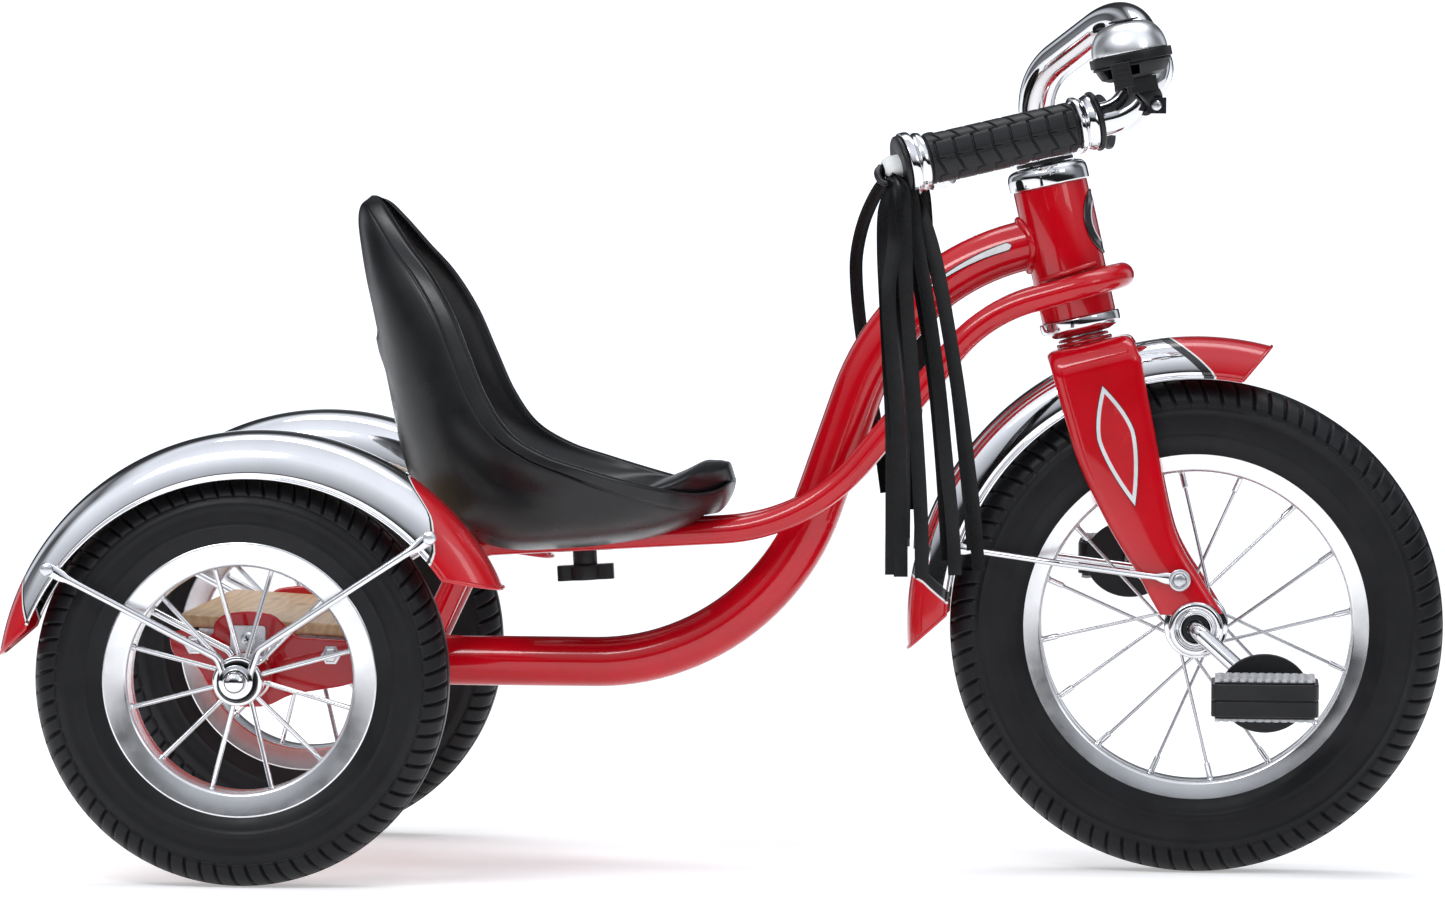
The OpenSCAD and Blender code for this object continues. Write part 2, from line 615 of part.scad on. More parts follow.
// ---------------------------------------------------------------- seat
// Each row: outer middle x, z; rim x, z; half width; inner depth as a share.
seat_rows = [
  [57, 426, 63, 426.5, 14, 0.5], [52.4, 421, 67, 422.5, 34, 0.42], [51.6, 411, 76, 411.5, 55, 0.3],
  [54.2, 394, 88, 396, 74, 0.22], [58, 374, 103, 378, 89, 0.18], [63.4, 351, 117.5, 354, 100, 0.16],
  [69, 325, 129.5, 326, 107, 0.15], [74.5, 299, 141, 300, 112, 0.16],
  [80, 272, 156, 279, 116, 0.2], [89, 244, 178, 265.5, 119, 0.27],
  [108, 219, 203, 257, 120, 0.38], [146, 203, 222, 251, 118, 0.46],
  [190, 203.5, 238, 246.5, 112, 0.62], [222, 207, 252, 243, 103, 0.85],
  [245, 211, 262, 240.5, 91, 1.3], [262, 216, 270, 239, 76, 1.75],
  [275, 221.5, 278, 239.5, 59, 2.1], [284.5, 228, 285, 242, 43, 2.1],
  [289.6, 236, 289.8, 246, 27, 1.4]];
seat_n = 14;

function pw(v, e) = sign(v) * pow(abs(v), e);

function seat_loop(r) = let(ox = r[0], oz = r[1], dx = r[2] - ox, dz = r[3] - oz, w = r[4],
  c = r[5], lip = min(13, w * 0.3))
  concat(
    [for (k = [0 : seat_n]) let(a = 180 + k * 180 / seat_n,
      y = w * pw(cos(a), 0.62), v = 1 - pow(abs(sin(a)), 0.9))
      [ox + dx * v, y, oz + dz * v]],
    [for (k = [0 : seat_n]) let(a = 360 - k * 180 / seat_n,
      y = (w - lip) * pw(cos(a), 0.8), v = 1 - (1 - c) * pow(abs(sin(a)), 1.2))
      [ox + dx * v, y, oz + dz * v]]);

module seat_solid() {
  n = len(seat_rows);
  m = 2 * (seat_n + 1);
  z = (n - 1) * m;
  polyhedron([for (r = seat_rows) for (p = seat_loop(r)) p], concat(
    [for (k = [0 : seat_n - 1]) [k, k + 1, m - 1 - k]],
    [for (k = [0 : seat_n - 1]) [k + 1, m - 2 - k, m - 1 - k]],
    [for (i = [0 : n - 2], k = [0 : m - 1]) let(a = i * m + k, b = i * m + (k + 1) % m)
      [a, a + m, b]],
    [for (i = [0 : n - 2], k = [0 : m - 1]) let(a = i * m + k, b = i * m + (k + 1) % m)
      [b, a + m, b + m]],
    [for (k = [0 : seat_n - 1]) [z + k, z + m - 1 - k, z + k + 1]],
    [for (k = [0 : seat_n - 1]) [z + k + 1, z + m - 1 - k, z + m - 2 - k]]));
}

module on_rails(x = 138, z = 206.5) {
  translate([x, 0, z]) rotate([0, -rail_slope, 0]) children();
}

module seat_shell() color([0.05, 0.05, 0.05]) place() difference() {
  seat_solid();
  on_rails() translate([-60, -47, -60]) cube([260, 94, 71.5]);
}

module seat_bracket() color([0.7, 0.7, 0.72]) place() on_rails() difference() {
  union() {
    translate([22, -44, 8.4]) cube([76, 88, 3]);
    translate([30, -22, -6]) cube([58, 44, 14.6]);
  }
  translate([59, 0, -20]) cylinder(h = 40, r = 4 + run_gap);
}

module seat_knob() color([0.05, 0.05, 0.05]) place() on_rails() translate([59, 0, 0]) {
  translate([0, 0, -18.5]) cylinder(h = 12.2, r = 7.7);
  translate([0, 0, -10]) cylinder(h = 16, r = 4);
  translate([-18, -7, -28]) cube([36, 14, 9.7]);
  translate([0, 0, -28]) cylinder(h = 9.7, r = 11);
}

main_tube();
seat_rails();
head_tube();
upper_cup();
lower_cup();
head_badge();
rear_gusset();
axle_carrier();
rear_axle();
axle_nuts();
axle_tabs();
step_deck();
deck_rails();
deck_caps();
rear_fender_right();
rear_fender_left();
fender_stays_right();
fender_stays_left();
fender_bolts();
fork();
steerer();
crown_washers();
front_fender();
front_stays();
front_bolts();
hub_cups();
stem_nut();
stem_seal();
handlebar();
grip_right();
grip_left();
grip_rings();
grip_flanges();
grip_plugs();
tassel_right();
tassel_left();
bell_base();
bell_clamp();
bell_dome();
bell_cap();
bell_lever();
front_tyre();
front_rim();
front_spokes();
front_hub();
crank_axle();
pedal_right();
pedal_left();
pedal_treads_right();
pedal_treads_left();
rear_tyre_right();
rear_tyre_left();
rear_rim_right();
rear_rim_left();
rear_bush_right();
rear_bush_left();
seat_shell();
seat_bracket();
seat_knob();
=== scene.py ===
import math
import random

import bmesh
import bpy
import numpy as np
from mathutils import Matrix, Vector


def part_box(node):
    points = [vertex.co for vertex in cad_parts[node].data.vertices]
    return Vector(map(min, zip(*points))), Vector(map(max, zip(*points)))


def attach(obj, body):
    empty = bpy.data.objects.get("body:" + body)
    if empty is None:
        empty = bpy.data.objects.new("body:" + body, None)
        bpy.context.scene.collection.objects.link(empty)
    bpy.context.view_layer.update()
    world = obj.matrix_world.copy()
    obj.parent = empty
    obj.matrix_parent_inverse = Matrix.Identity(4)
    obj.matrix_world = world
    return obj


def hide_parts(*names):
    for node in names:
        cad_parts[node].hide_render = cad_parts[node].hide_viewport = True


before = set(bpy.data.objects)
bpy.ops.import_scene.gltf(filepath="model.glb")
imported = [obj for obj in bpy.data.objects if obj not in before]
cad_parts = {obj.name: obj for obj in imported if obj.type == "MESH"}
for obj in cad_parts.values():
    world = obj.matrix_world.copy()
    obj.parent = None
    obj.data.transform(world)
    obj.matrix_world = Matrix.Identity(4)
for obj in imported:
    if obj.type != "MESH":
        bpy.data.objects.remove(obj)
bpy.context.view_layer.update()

MM = 0.001
SCENE = bpy.context.scene
_lo, _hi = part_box("rear_axle")
X0 = (_lo.x + _hi.x) / 2  # the rear axle in the row frame
REAR = (0.0, (_lo.z + _hi.z) / 2 / MM)
_lo, _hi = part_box("front_tyre")
FRONT = ((_lo.x + _hi.x) / 2 / MM - X0 / MM, (_lo.z + _hi.z) / 2 / MM)
_lo, _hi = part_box("rear_tyre_left")
TRACK = (_lo.y + _hi.y) / 2 / MM  # half the distance between the rear wheels' middles


# ------------------------------------------------------------------ numbers in the frame
# Shapes are written in millimetres, X from the rear axle, Y to the left, Z up.
def row_frame(points):
    p = np.array(points, float) * MM
    p[..., 0] += X0
    return p


def unit(v):
    v = np.asarray(v, float)
    return v / np.linalg.norm(v)


def smooth(x, lo, hi):
    t = np.clip((np.asarray(x, float) - lo) / (hi - lo), 0, 1)
    return t * t * (3 - 2 * t)


class Place:
    """A local frame: origin and three axes."""

    def __init__(self, origin, w, u=None):
        self.o, self.w = np.array(origin, float), unit(w)
        if u is None:
            u = (0, 0, 1) if abs(self.w[2]) < 0.9 else (0, 1, 0)
            u = np.cross(u, self.w)
        u = np.asarray(u, float) - np.dot(u, self.w) * self.w
        self.u = unit(u)
        self.v = np.cross(self.w, self.u)

    def __call__(self, p):
        p = np.asarray(p, float)
        return self.o + p[..., :1] * self.u + p[..., 1:2] * self.v + p[..., 2:3] * self.w


# Local frames for the steering head, the world, the step, the seat rails, the bell and the right grip.
LEAN = math.radians(13)
HEAD = Place((513.2, 0, 354), (-math.sin(LEAN), 0, math.cos(LEAN)), (math.cos(LEAN), 0, math.sin(LEAN)))
WORLD = Place((0, 0, 0), (0, 0, 1), (1, 0, 0))
TILT = math.radians(3.3)
DECK = Place((12, 0, 162.5), (math.sin(TILT), 0, math.cos(TILT)), (math.cos(TILT), 0, -math.sin(TILT)))
SLOPE = math.radians(3.5)
RAILS = Place((138, 0, 206.5), (-math.sin(SLOPE), 0, math.cos(SLOPE)), (math.cos(SLOPE), 0,
        math.sin(SLOPE)))
BTILT = math.radians(12)
BELL = Place((546.6, -217.5, 520.3), (-math.sin(BTILT), 0, math.cos(BTILT)), (math.cos(BTILT), 0,
        math.sin(BTILT)))
GRIP_A, GRIP_B = np.array((519, -207, 477.5)), np.array((409, -240, 451))
GRIP = Place(GRIP_A, GRIP_B - GRIP_A)


def axis_y(x, y, z):
    """Local Z along -Y, local X along +X."""
    return Place((x, y, z), (0, -1, 0), (1, 0, 0))


# ------------------------------------------------------------------ meshes
class Shape:
    def __init__(self):
        self.v, self.f, self.a = [], [], []

    def add(self, part, mirror=False, attr=None):
        verts, faces = part
        verts = np.array(verts, float).reshape(-1, 3)
        if mirror:
            verts = verts * (1, -1, 1)
            faces = [tuple(reversed(f)) for f in faces]
        n = len(self.v)
        self.v.extend(verts.tolist())
        self.f.extend([tuple(i + n for i in f) for f in faces])
        self.a.extend([0.0] * len(verts) if attr is None else list(attr))
        return self

    def both(self, part):
        return self.add(part).add(part, True)


def grid(p, wrap_u=False, wrap_v=False, cap=False):
    """Quads over points p[u][v]. With cap, the first and last u rows are closed by one face each."""
    p = np.asarray(p, float)
    nu, nv = p.shape[:2]
    faces = []
    for i in range(nu if wrap_u else nu - 1):
        a, b = i * nv, ((i + 1) % nu) * nv
        for k in range(nv if wrap_v else nv - 1):
            k2 = (k + 1) % nv
            faces.append((a + k, b + k, b + k2, a + k2))
    if cap:
        faces.append(tuple(range(nv)))
        faces.append(tuple(reversed(range((nu - 1) * nv, nu * nv))))
    return p.reshape(-1, 3), faces


def sweep(path, radius, sides=40, cap=True, flat=1.0, start=None):
    """A tube along path. radius is a number or one per point; flat squeezes it across the first side."""
    q = np.asarray(path, float)
    n = len(q)
    t = np.gradient(q, axis=0)
    t[0], t[-1] = q[1] - q[0], q[-1] - q[-2]
    t /= np.linalg.norm(t, axis=1)[:, None]
    u = np.cross((0, 0, 1), t[0]) if start is None else np.asarray(start, float)
    if np.linalg.norm(u) < 1e-6:
        u = np.array((0.0, 1.0, 0.0))
    rings = []
    r = np.broadcast_to(np.asarray(radius, float), (n,))
    f = np.broadcast_to(np.asarray(flat, float), (n,))
    a = np.arange(sides) * 2 * math.pi / sides
    for i in range(n):
        u = unit(u - np.dot(u, t[i]) * t[i])
        v = np.cross(t[i], u)
        rings.append(q[i] + r[i] * (np.cos(a)[:, None] * u * f[i] + np.sin(a)[:, None] * v))
    return grid(rings, wrap_v=True, cap=cap)


def bends(points, radii, step=4.0):
    """The line through points, rounded to the radii at its corners."""
    p = [np.array(x, float) for x in points]
    out = [p[0]]
    for i in range(1, len(p) - 1):
        if radii[i] == 0:
            out.append(p[i])
            continue
        a, b = unit(p[i - 1] - p[i]), unit(p[i + 1] - p[i])
        half = math.acos(max(-1, min(1, float(np.dot(a, b))))) / 2
        c = p[i] + unit(a + b) * radii[i] / math.sin(half)
        s, e = p[i] + a * radii[i] / math.tan(half) - c, p[i] + b * radii[i] / math.tan(half) - c
        t = math.pi - 2 * half
        m = max(2, math.ceil(math.degrees(t) / step))
        for k in range(m + 1):
            w = k / m
            out.append(c + (math.sin(t * (1 - w)) * s + math.sin(t * w) * e) / math.sin(t))
    out.append(p[-1])
    return np.array(out)


def arc_length(q):
    """The distance of each point of a line from its first point."""
    return np.concatenate([[0], np.cumsum(np.linalg.norm(np.diff(q, axis=0), axis=1))])


def refine(p, step):
    """The line p with points added, so that no span is longer than about two steps."""
    q = []
    for i in range(len(p) - 1):
        m = max(1, int(np.linalg.norm(p[i + 1] - p[i]) / step))
        q += [p[i] + (p[i + 1] - p[i]) * k / m for k in range(m)]
    return np.array(q + [p[-1]])


def spline(points, n):
    """n points on a smooth curve through points, evenly spread over the spans."""
    p = np.array(points, float)
    m = len(p)
    out = []

    def at(j):
        if j < 0:
            return 2 * p[0] - p[1]
        if j >= m:
            return 2 * p[-1] - p[-2]
        return p[j]

    for s in np.linspace(0, m - 1, n):
        i = min(int(s), m - 2)
        t = s - i
        a, b, c, d = at(i - 1), at(i), at(i + 1), at(i + 2)
        out.append(0.5 * (2 * b + (c - a) * t + (2 * a - 5 * b + 4 * c - d) * t * t + (3 * b - a - 3 * c
                + d) * t ** 3))
    return np.array(out)


def soft_corners(poly, r, steps=3, closed=True):
    """A flat outline with its corners rounded to r or less."""
    p = [np.array(x, float) for x in poly]
    n = len(p)
    out = []
    for i in range(n):
        if not closed and i in (0, n - 1):
            out.append(p[i])
            continue
        a, b = p[i - 1] - p[i], p[(i + 1) % n] - p[i]
        la, lb = np.linalg.norm(a), np.linalg.norm(b)
        d = min(r, la * 0.45, lb * 0.45)
        s, e = p[i] + a / la * d, p[i] + b / lb * d
        for k in range(steps + 1):
            t = k / steps
            out.append((1 - t) ** 2 * s + 2 * t * (1 - t) * p[i] + t * t * e)
    return np.array(out)


def lathe(profile, place, n=64, r=0.5, closed=True):
    """A turned shape: (radius, height) pairs about the place's Z axis, with corners rounded to r."""
    prof = soft_corners(profile, r, closed=closed) if r else np.array(profile, float)
    prof[:, 0] = np.maximum(prof[:, 0], 0.0)
    a = np.arange(n) * 2 * math.pi / n
    pts = np.stack([prof[None, :, 0] * np.cos(a)[:, None], prof[None, :, 0] * np.sin(a)[:, None],
                    np.broadcast_to(prof[None, :, 1], (n, len(prof)))], axis=-1)
    return grid(place(pts), wrap_u=True, wrap_v=closed)


def slab(outline, z0, z1, place, r=0, steps=3):
    """A plate: the outline in the place's XY plane between two heights."""
    o = soft_corners(outline, r, steps) if r else np.array(outline, float)
    pts = [np.column_stack([o, np.full(len(o), z)]) for z in (z0, z1)]
    return grid(place(np.array(pts)), wrap_v=True, cap=True)


def box(lo, hi, place=WORLD, r=0, steps=3):
    outline = [(lo[0], lo[1]), (hi[0], lo[1]), (hi[0], hi[1]), (lo[0], hi[1])]
    return slab(outline, lo[2], hi[2], place, r, steps)


def ball(centre, r, n):
    prof = [(r * math.cos(t), r * math.sin(t)) for t in np.linspace(-math.pi / 2, math.pi / 2, n // 2 + 1)]
    return lathe(prof, Place(centre, WORLD.w, WORLD.u), n, r=0, closed=False)


def piece(name, shape, mat, body, node, hides=None, angle=35, bevel=0, solid=0, attr=None):
    """One Blender object from a Shape, with mat in its material slot. It replaces the nodes in
    hides, or that same node where none are given. solid is a wall thickness in mm, and attr names the
    shape's own number for each point."""
    me = bpy.data.meshes.new(name)
    me.from_pydata(row_frame(shape.v).tolist(), [], shape.f)
    ob = bpy.data.objects.new(name, me)
    SCENE.collection.objects.link(ob)
    me.materials.append(mat)
    if not solid:
        bm = bmesh.new()
        bm.from_mesh(me)
        if not attr:
            bmesh.ops.remove_doubles(bm, verts=bm.verts, dist=1e-6)
        bmesh.ops.recalc_face_normals(bm, faces=bm.faces)
        bm.to_mesh(me)
        bm.free()
    if attr:
        layer = me.attributes.new(attr, "FLOAT", "POINT")
        layer.data.foreach_set("value", np.array(shape.a, np.float32))
    me.polygons.foreach_set("use_smooth", [True] * len(me.polygons))
    me.set_sharp_from_angle(angle=math.radians(angle))
    if solid:
        m = ob.modifiers.new("thickness", "SOLIDIFY")
        m.thickness = solid * MM
        m.offset = -1
    if bevel:
        m = ob.modifiers.new("edges", "BEVEL")
        m.width = bevel * MM
        m.segments = 3
        m.limit_method = "ANGLE"
        m.angle_limit = math.radians(30)
    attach(ob, body)
    if hides is None:
        hides = [node]
    if hides:
        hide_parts(*hides)
    return ob


# ------------------------------------------------------------------ materials
class Nodes:
    def __init__(self, name):
        self.mat = bpy.data.materials.new(name)
        self.mat.use_nodes = True
        self.t = self.mat.node_tree
        self.bsdf = self.t.nodes["Principled BSDF"]
        self.coord = self.t.nodes.new("ShaderNodeTexCoord").outputs["Object"]

    def node(self, kind, **values):
        n = self.t.nodes.new("ShaderNode" + kind)
        for k, v in values.items():
            setattr(n, k, v)
        return n

    def link(self, a, b):
        self.t.links.new(a, b)

    def scaled(self, scale):
        """Object coordinates stretched by scale, in 1/m."""
        m = self.node("Mapping")
        self.link(self.coord, m.inputs["Vector"])
        m.inputs["Scale"].default_value = (scale,) * 3 if isinstance(scale, (int, float)) else scale
        return m.outputs["Vector"]

    def noise(self, scale, detail, rough=0.55):
        n = self.node("TexNoise")
        self.link(self.scaled(scale), n.inputs["Vector"])
        n.inputs["Scale"].default_value = 1.0
        n.inputs["Detail"].default_value = detail
        n.inputs["Roughness"].default_value = rough
        return n.outputs["Fac"]

    def cells(self, scale):
        n = self.node("TexVoronoi")
        self.link(self.scaled(scale), n.inputs["Vector"])
        n.inputs["Scale"].default_value = 1.0
        return n.outputs["Distance"]

    def ramp(self, fac, *stops):
        n = self.node("ValToRGB")
        self.link(fac, n.inputs["Fac"])
        e = n.color_ramp.elements
        while len(e) < len(stops):
            e.new(0.5)
        for el, (pos, col) in zip(e, stops):
            el.position = pos
            el.color = (*col, 1) if len(col) == 3 else col
        return n.outputs["Color"]

    def clouds(self, scale, detail, dark, light):
        """A colour that drifts between dark and light."""
        return self.ramp(self.noise(scale, detail), (0.3, dark), (0.7, light))

    def spread(self, fac, lo, hi, a=0.3, b=0.7):
        n = self.node("MapRange")
        self.link(fac, n.inputs["Value"])
        for k, v in (("From Min", a), ("From Max", b), ("To Min", lo), ("To Max", hi)):
            n.inputs[k].default_value = v
        return n.outputs["Result"]

    def math(self, op, a, b=None):
        n = self.node("Math", operation=op)
        for i, x in enumerate((a, b)):
            if x is None:
                continue
            if isinstance(x, (int, float)):
                n.inputs[i].default_value = x
            else:
                self.link(x, n.inputs[i])
        return n.outputs[0]

    def mix(self, fac, a, b):
        n = self.node("Mix", data_type="RGBA")
        for sock, x in ((n.inputs[0], fac), (n.inputs[6], a), (n.inputs[7], b)):
            if isinstance(x, (int, float)):
                sock.default_value = x
            elif isinstance(x, tuple):
                sock.default_value = (*x, 1)
            else:
                self.link(x, sock)
        return n.outputs[2]

    def bump(self, height, strength, depth_mm):
        n = self.node("Bump")
        n.inputs["Strength"].default_value = strength
        n.inputs["Distance"].default_value = depth_mm * MM
        self.link(height, n.inputs["Height"])
        last = self.bsdf.inputs["Normal"]
        if last.is_linked:
            self.link(last.links[0].from_socket, n.inputs["Normal"])
        self.link(n.outputs["Normal"], last)

    def set(self, **values):
        for k, v in values.items():
            s = self.bsdf.inputs[k.replace("_", " ")]
            if isinstance(v, (int, float)):
                s.default_value = v
            elif isinstance(v, tuple):
                s.default_value = (*v, 1) if len(v) == 3 else v
            else:
                self.link(v, s)
        return self.mat


def paint(name, dark, light, rough=(0.16, 0.26)):
    n = Nodes(name)
    n.bump(n.noise(900, 2), 0.06, 0.05)
    n.bump(n.noise(120, 3), 0.05, 0.3)
    return n.set(Base_Color=n.clouds(28, 5, dark, light), Roughness=n.spread(n.noise(60, 4), *rough),
                 Specular_IOR_Level=0.2, Coat_Weight=0.75, Coat_Roughness=0.03)


def metal(name, dark, light, rough, grain=700, grain_depth=0.02, cloud=22, strength=0.15):
    n = Nodes(name)
    n.bump(n.noise(grain, 3), strength, grain_depth)
    return n.set(Base_Color=n.clouds(cloud, 5, dark, light), Metallic=1.0,
                 Roughness=n.spread(n.noise(cloud * 2.3, 5, 0.65), *rough))


def plastic(name, dark, light, rough, pebble=1400, pebble_depth=0.06, strength=0.25, wear=None, shine=0.4):
    n = Nodes(name)
    n.bump(n.cells(pebble), strength, pebble_depth)
    n.bump(n.noise(70, 3), 0.1, 0.4)
    col = n.ramp(n.noise(35, 6, 0.6), (0.3, dark), (0.72, light))
    if wear:
        dust = n.spread(n.noise(14, 8, 0.7), 0, 1, 0.52, 0.8)
        col = n.mix(n.math("MULTIPLY", dust, 0.5), col, wear)
    return n.set(Base_Color=col, Roughness=n.spread(n.noise(55, 5, 0.6), *rough), Specular_IOR_Level=shine)


RED_DARK, RED_LIGHT = (0.47, 0.0006, 0.006), (0.56, 0.001, 0.010)
RED = paint("gloss_red_paint", RED_DARK, RED_LIGHT)
CHROME = metal("chrome_plate", (0.71, 0.71, 0.725), (0.80, 0.80, 0.815), (0.035, 0.09), grain_depth=0.006)
RIM = metal("polished_rim", (0.74, 0.745, 0.76), (0.87, 0.87, 0.885), (0.16, 0.26), grain=1500,
            grain_depth=0.012)
STEEL = metal("bright_steel", (0.46, 0.46, 0.48), (0.62, 0.62, 0.64), (0.14, 0.26), grain_depth=0.02)
ZINC = metal("zinc_plate", (0.60, 0.61, 0.64), (0.80, 0.81, 0.83), (0.22, 0.38), grain_depth=0.03, cloud=60)
BRUSHED = metal("brushed_aluminium", (0.84, 0.845, 0.86), (0.93, 0.935, 0.945), (0.24, 0.36),
                grain=(300, 300, 4200), grain_depth=0.02)
BLACK = plastic("black_plastic", (0.006, 0.006, 0.007), (0.013, 0.013, 0.0145), (0.32, 0.46), shine=0.35)
SEAT = plastic("moulded_seat_plastic", (0.0035, 0.0035, 0.004), (0.008, 0.008, 0.009), (0.26, 0.36), 1150,
               0.10, 0.3, shine=0.42)
WHITE = plastic("white_plastic", (0.72, 0.73, 0.72), (0.84, 0.85, 0.84), (0.35, 0.5), 900, 0.03)
GREY = plastic("grey_tread_rubber", (0.48, 0.49, 0.50), (0.62, 0.63, 0.64), (0.55, 0.7), 1200, 0.05,
               wear=(0.7, 0.7, 0.7))
RUBBER = plastic("tyre_rubber", (0.004, 0.004, 0.005), (0.009, 0.009, 0.0105), (0.36, 0.50), 1700, 0.04,
                 0.25, wear=(0.014, 0.014, 0.015), shine=0.24)
GRIPR = plastic("grip_rubber", (0.006, 0.006, 0.007), (0.012, 0.012, 0.0135), (0.36, 0.5), 1500, 0.05, 0.3,
                shine=0.32)


def wood():
    n = Nodes("oiled_plywood")
    rings = n.node("TexWave", wave_type="BANDS", bands_direction="X")
    n.link(n.scaled((1.0, 0.10, 1.0)), rings.inputs["Vector"])
    rings.inputs["Scale"].default_value = 46
    rings.inputs["Distortion"].default_value = 7
    rings.inputs["Detail"].default_value = 3
    rings.inputs["Detail Scale"].default_value = 2.2
    grain = n.noise((900, 22, 900), 6, 0.6)
    knots = n.cells((24, 9, 24))
    base = n.ramp(rings.outputs["Fac"], (0.15, (0.52, 0.31, 0.15)), (0.85, (0.70, 0.47, 0.26)))
    streak = n.ramp(grain, (0.35, (0.50, 0.30, 0.15)), (0.68, (0.76, 0.54, 0.32)))
    dark = n.spread(knots, 1, 0, 0.04, 0.16)
    n.bump(grain, 0.25, 0.15)
    n.bump(rings.outputs["Fac"], 0.12, 0.2)
    col = n.mix(0.5, base, streak)
    return n.set(Base_Color=n.mix(n.math("MULTIPLY", dark, 0.75), col, (0.24, 0.11, 0.05)),
                 Roughness=n.spread(grain, 0.36, 0.55), Coat_Weight=0.25, Coat_Roughness=0.2)


def satin():
    n = Nodes("black_satin_ribbon")
    warp = n.noise((5200, 5200, 60), 2)
    n.bump(warp, 0.35, 0.05)
    n.bump(n.noise(45, 3), 0.25, 0.8)
    return n.set(Base_Color=n.ramp(n.noise(70, 5), (0.3, (0.002, 0.002, 0.0022)),
            (0.75, (0.006, 0.006, 0.0065))), Roughness=n.spread(warp, 0.22, 0.36), Specular_IOR_Level=0.28)


def striped_chrome(name, black, white):
    """Chrome that turns to a black band, a white line and a red tip as the attribute rises past 0."""
    n = Nodes(name)
    tip = n.node("Attribute", attribute_name="tip").outputs["Fac"]
    wave = n.math("MULTIPLY", n.math("SUBTRACT", n.noise(240, 3), 0.5), 0.25)
    t = n.math("ADD", tip, wave)

    def past(at):
        return n.spread(t, 0, 1, at - 0.12, at + 0.12)

    in_black, in_white, in_red = past(-black - white), past(-white), past(0.0)
    chrome = n.clouds(22, 5, (0.80, 0.80, 0.82), (0.90, 0.90, 0.915))
    red = n.clouds(28, 5, RED_DARK, RED_LIGHT)
    ink = n.clouds(50, 4, (0.008, 0.008, 0.009), (0.016, 0.016, 0.018))
    pale = n.clouds(50, 4, (0.74, 0.74, 0.73), (0.86, 0.86, 0.85))
    col = n.mix(in_red, n.mix(in_white, n.mix(in_black, chrome, ink), pale), red)
    plate = n.spread(n.noise(50, 5, 0.65), 0.035, 0.09)
    coat = n.spread(n.noise(60, 4), 0.18, 0.28)
    rough = n.node("Mix", data_type="FLOAT")
    for sock, x in ((rough.inputs[0], in_black), (rough.inputs[2], plate), (rough.inputs[3], coat)):
        n.link(x, sock)
    n.bump(n.noise(700, 3), 0.1, 0.008)
    return n.set(Base_Color=col, Metallic=n.math("SUBTRACT", 1.0, in_black), Roughness=rough.outputs[0],
                 Coat_Weight=0.6, Coat_Roughness=0.035)


def decal(name, inside, line):
    """A printed patch: the attribute is the distance from its edge in mm."""
    n = Nodes(name)
    d = n.node("Attribute", attribute_name="rim").outputs["Fac"]
    wave = n.math("MULTIPLY", n.math("SUBTRACT", n.noise(300, 3), 0.5), 0.2)
    t = n.math("ADD", d, wave)
    steps = [n.spread(t, 0, 1, a - 0.1, a + 0.1) for a in line]
    ink = n.clouds(80, 4, (0.008, 0.008, 0.009), (0.018, 0.018, 0.02))
    pale = n.clouds(60, 4, (0.66, 0.67, 0.68), (0.80, 0.81, 0.82))
    mid = n.clouds(60, 4, inside[0], inside[1])
    col = n.mix(steps[1], n.mix(steps[0], ink, pale), mid) if len(steps) > 1 else n.mix(steps[0], ink, pale)
    n.bump(n.noise(900, 2), 0.05, 0.02)
    return n.set(Base_Color=col, Roughness=n.spread(n.noise(70, 4), 0.2, 0.3), Coat_Weight=0.7,
                 Coat_Roughness=0.05)


WOOD, SATIN = wood(), satin()
FENDER_F = striped_chrome("front_mudguard_finish", 6.5, 1.5)
FENDER_R = striped_chrome("rear_mudguard_finish", 2.0, 1.6)
SILVER_LINE = decal("fork_panel_print", (RED_DARK, RED_LIGHT), (0.5, 2.9))
STRIPE = decal("tube_stripe_print", (RED_DARK, RED_LIGHT), (0.7,))
BADGE = decal("badge_enamel", ((0.30, 0.004, 0.008), (0.42, 0.006, 0.012)), (6.3, 7.4))


# ------------------------------------------------------------------ frame
TUBE_R, RAIL_R, HEAD_R, BAR_R = 16, 8, 24.0, 10.5  # backbone, seat rail, head tube, handlebar


def tube_path(step=3.0):
    z = REAR[1] + 0.5
    return bends([(10, 0, z), (311.9, 0, z), (397.4, 0, 377.8), (503, 0, 406.1)], [0, 150, 150, 0], step)


def weld(path, r, seed):
    """A stacked weld bead along a closed or open line."""
    q = np.array(path, float)
    run = arc_length(q)
    rnd = random.Random(seed)
    wob = np.array([rnd.uniform(-1, 1) for _ in q])
    return sweep(q, r * (1 + 0.16 * np.abs(np.sin(run * math.pi / 4.5)) + 0.05 * wob), 14, True)


def head_contact(path_point, direction, radius):
    """Where a tube of radius, ending at path_point along direction, meets the head tube."""
    d = unit(direction)
    p = Place(path_point, d)
    out = []
    for a in np.linspace(0, 2 * math.pi, 72, endpoint=False):
        o = p((radius * math.cos(a), radius * math.sin(a), 0.0))
        rel = o - HEAD.o
        rw, dw = rel - np.dot(rel, HEAD.w) * HEAD.w, d - np.dot(d, HEAD.w) * HEAD.w
        qa, qb, qc = np.dot(dw, dw), 2 * np.dot(rw, dw), np.dot(rw, rw) - (HEAD_R + 0.6) ** 2
        disc = qb * qb - 4 * qa * qc
        t = (-qb - math.sqrt(max(disc, 0))) / (2 * qa)
        out.append(o + t * d)
    out.append(out[0])
    return np.array(out)


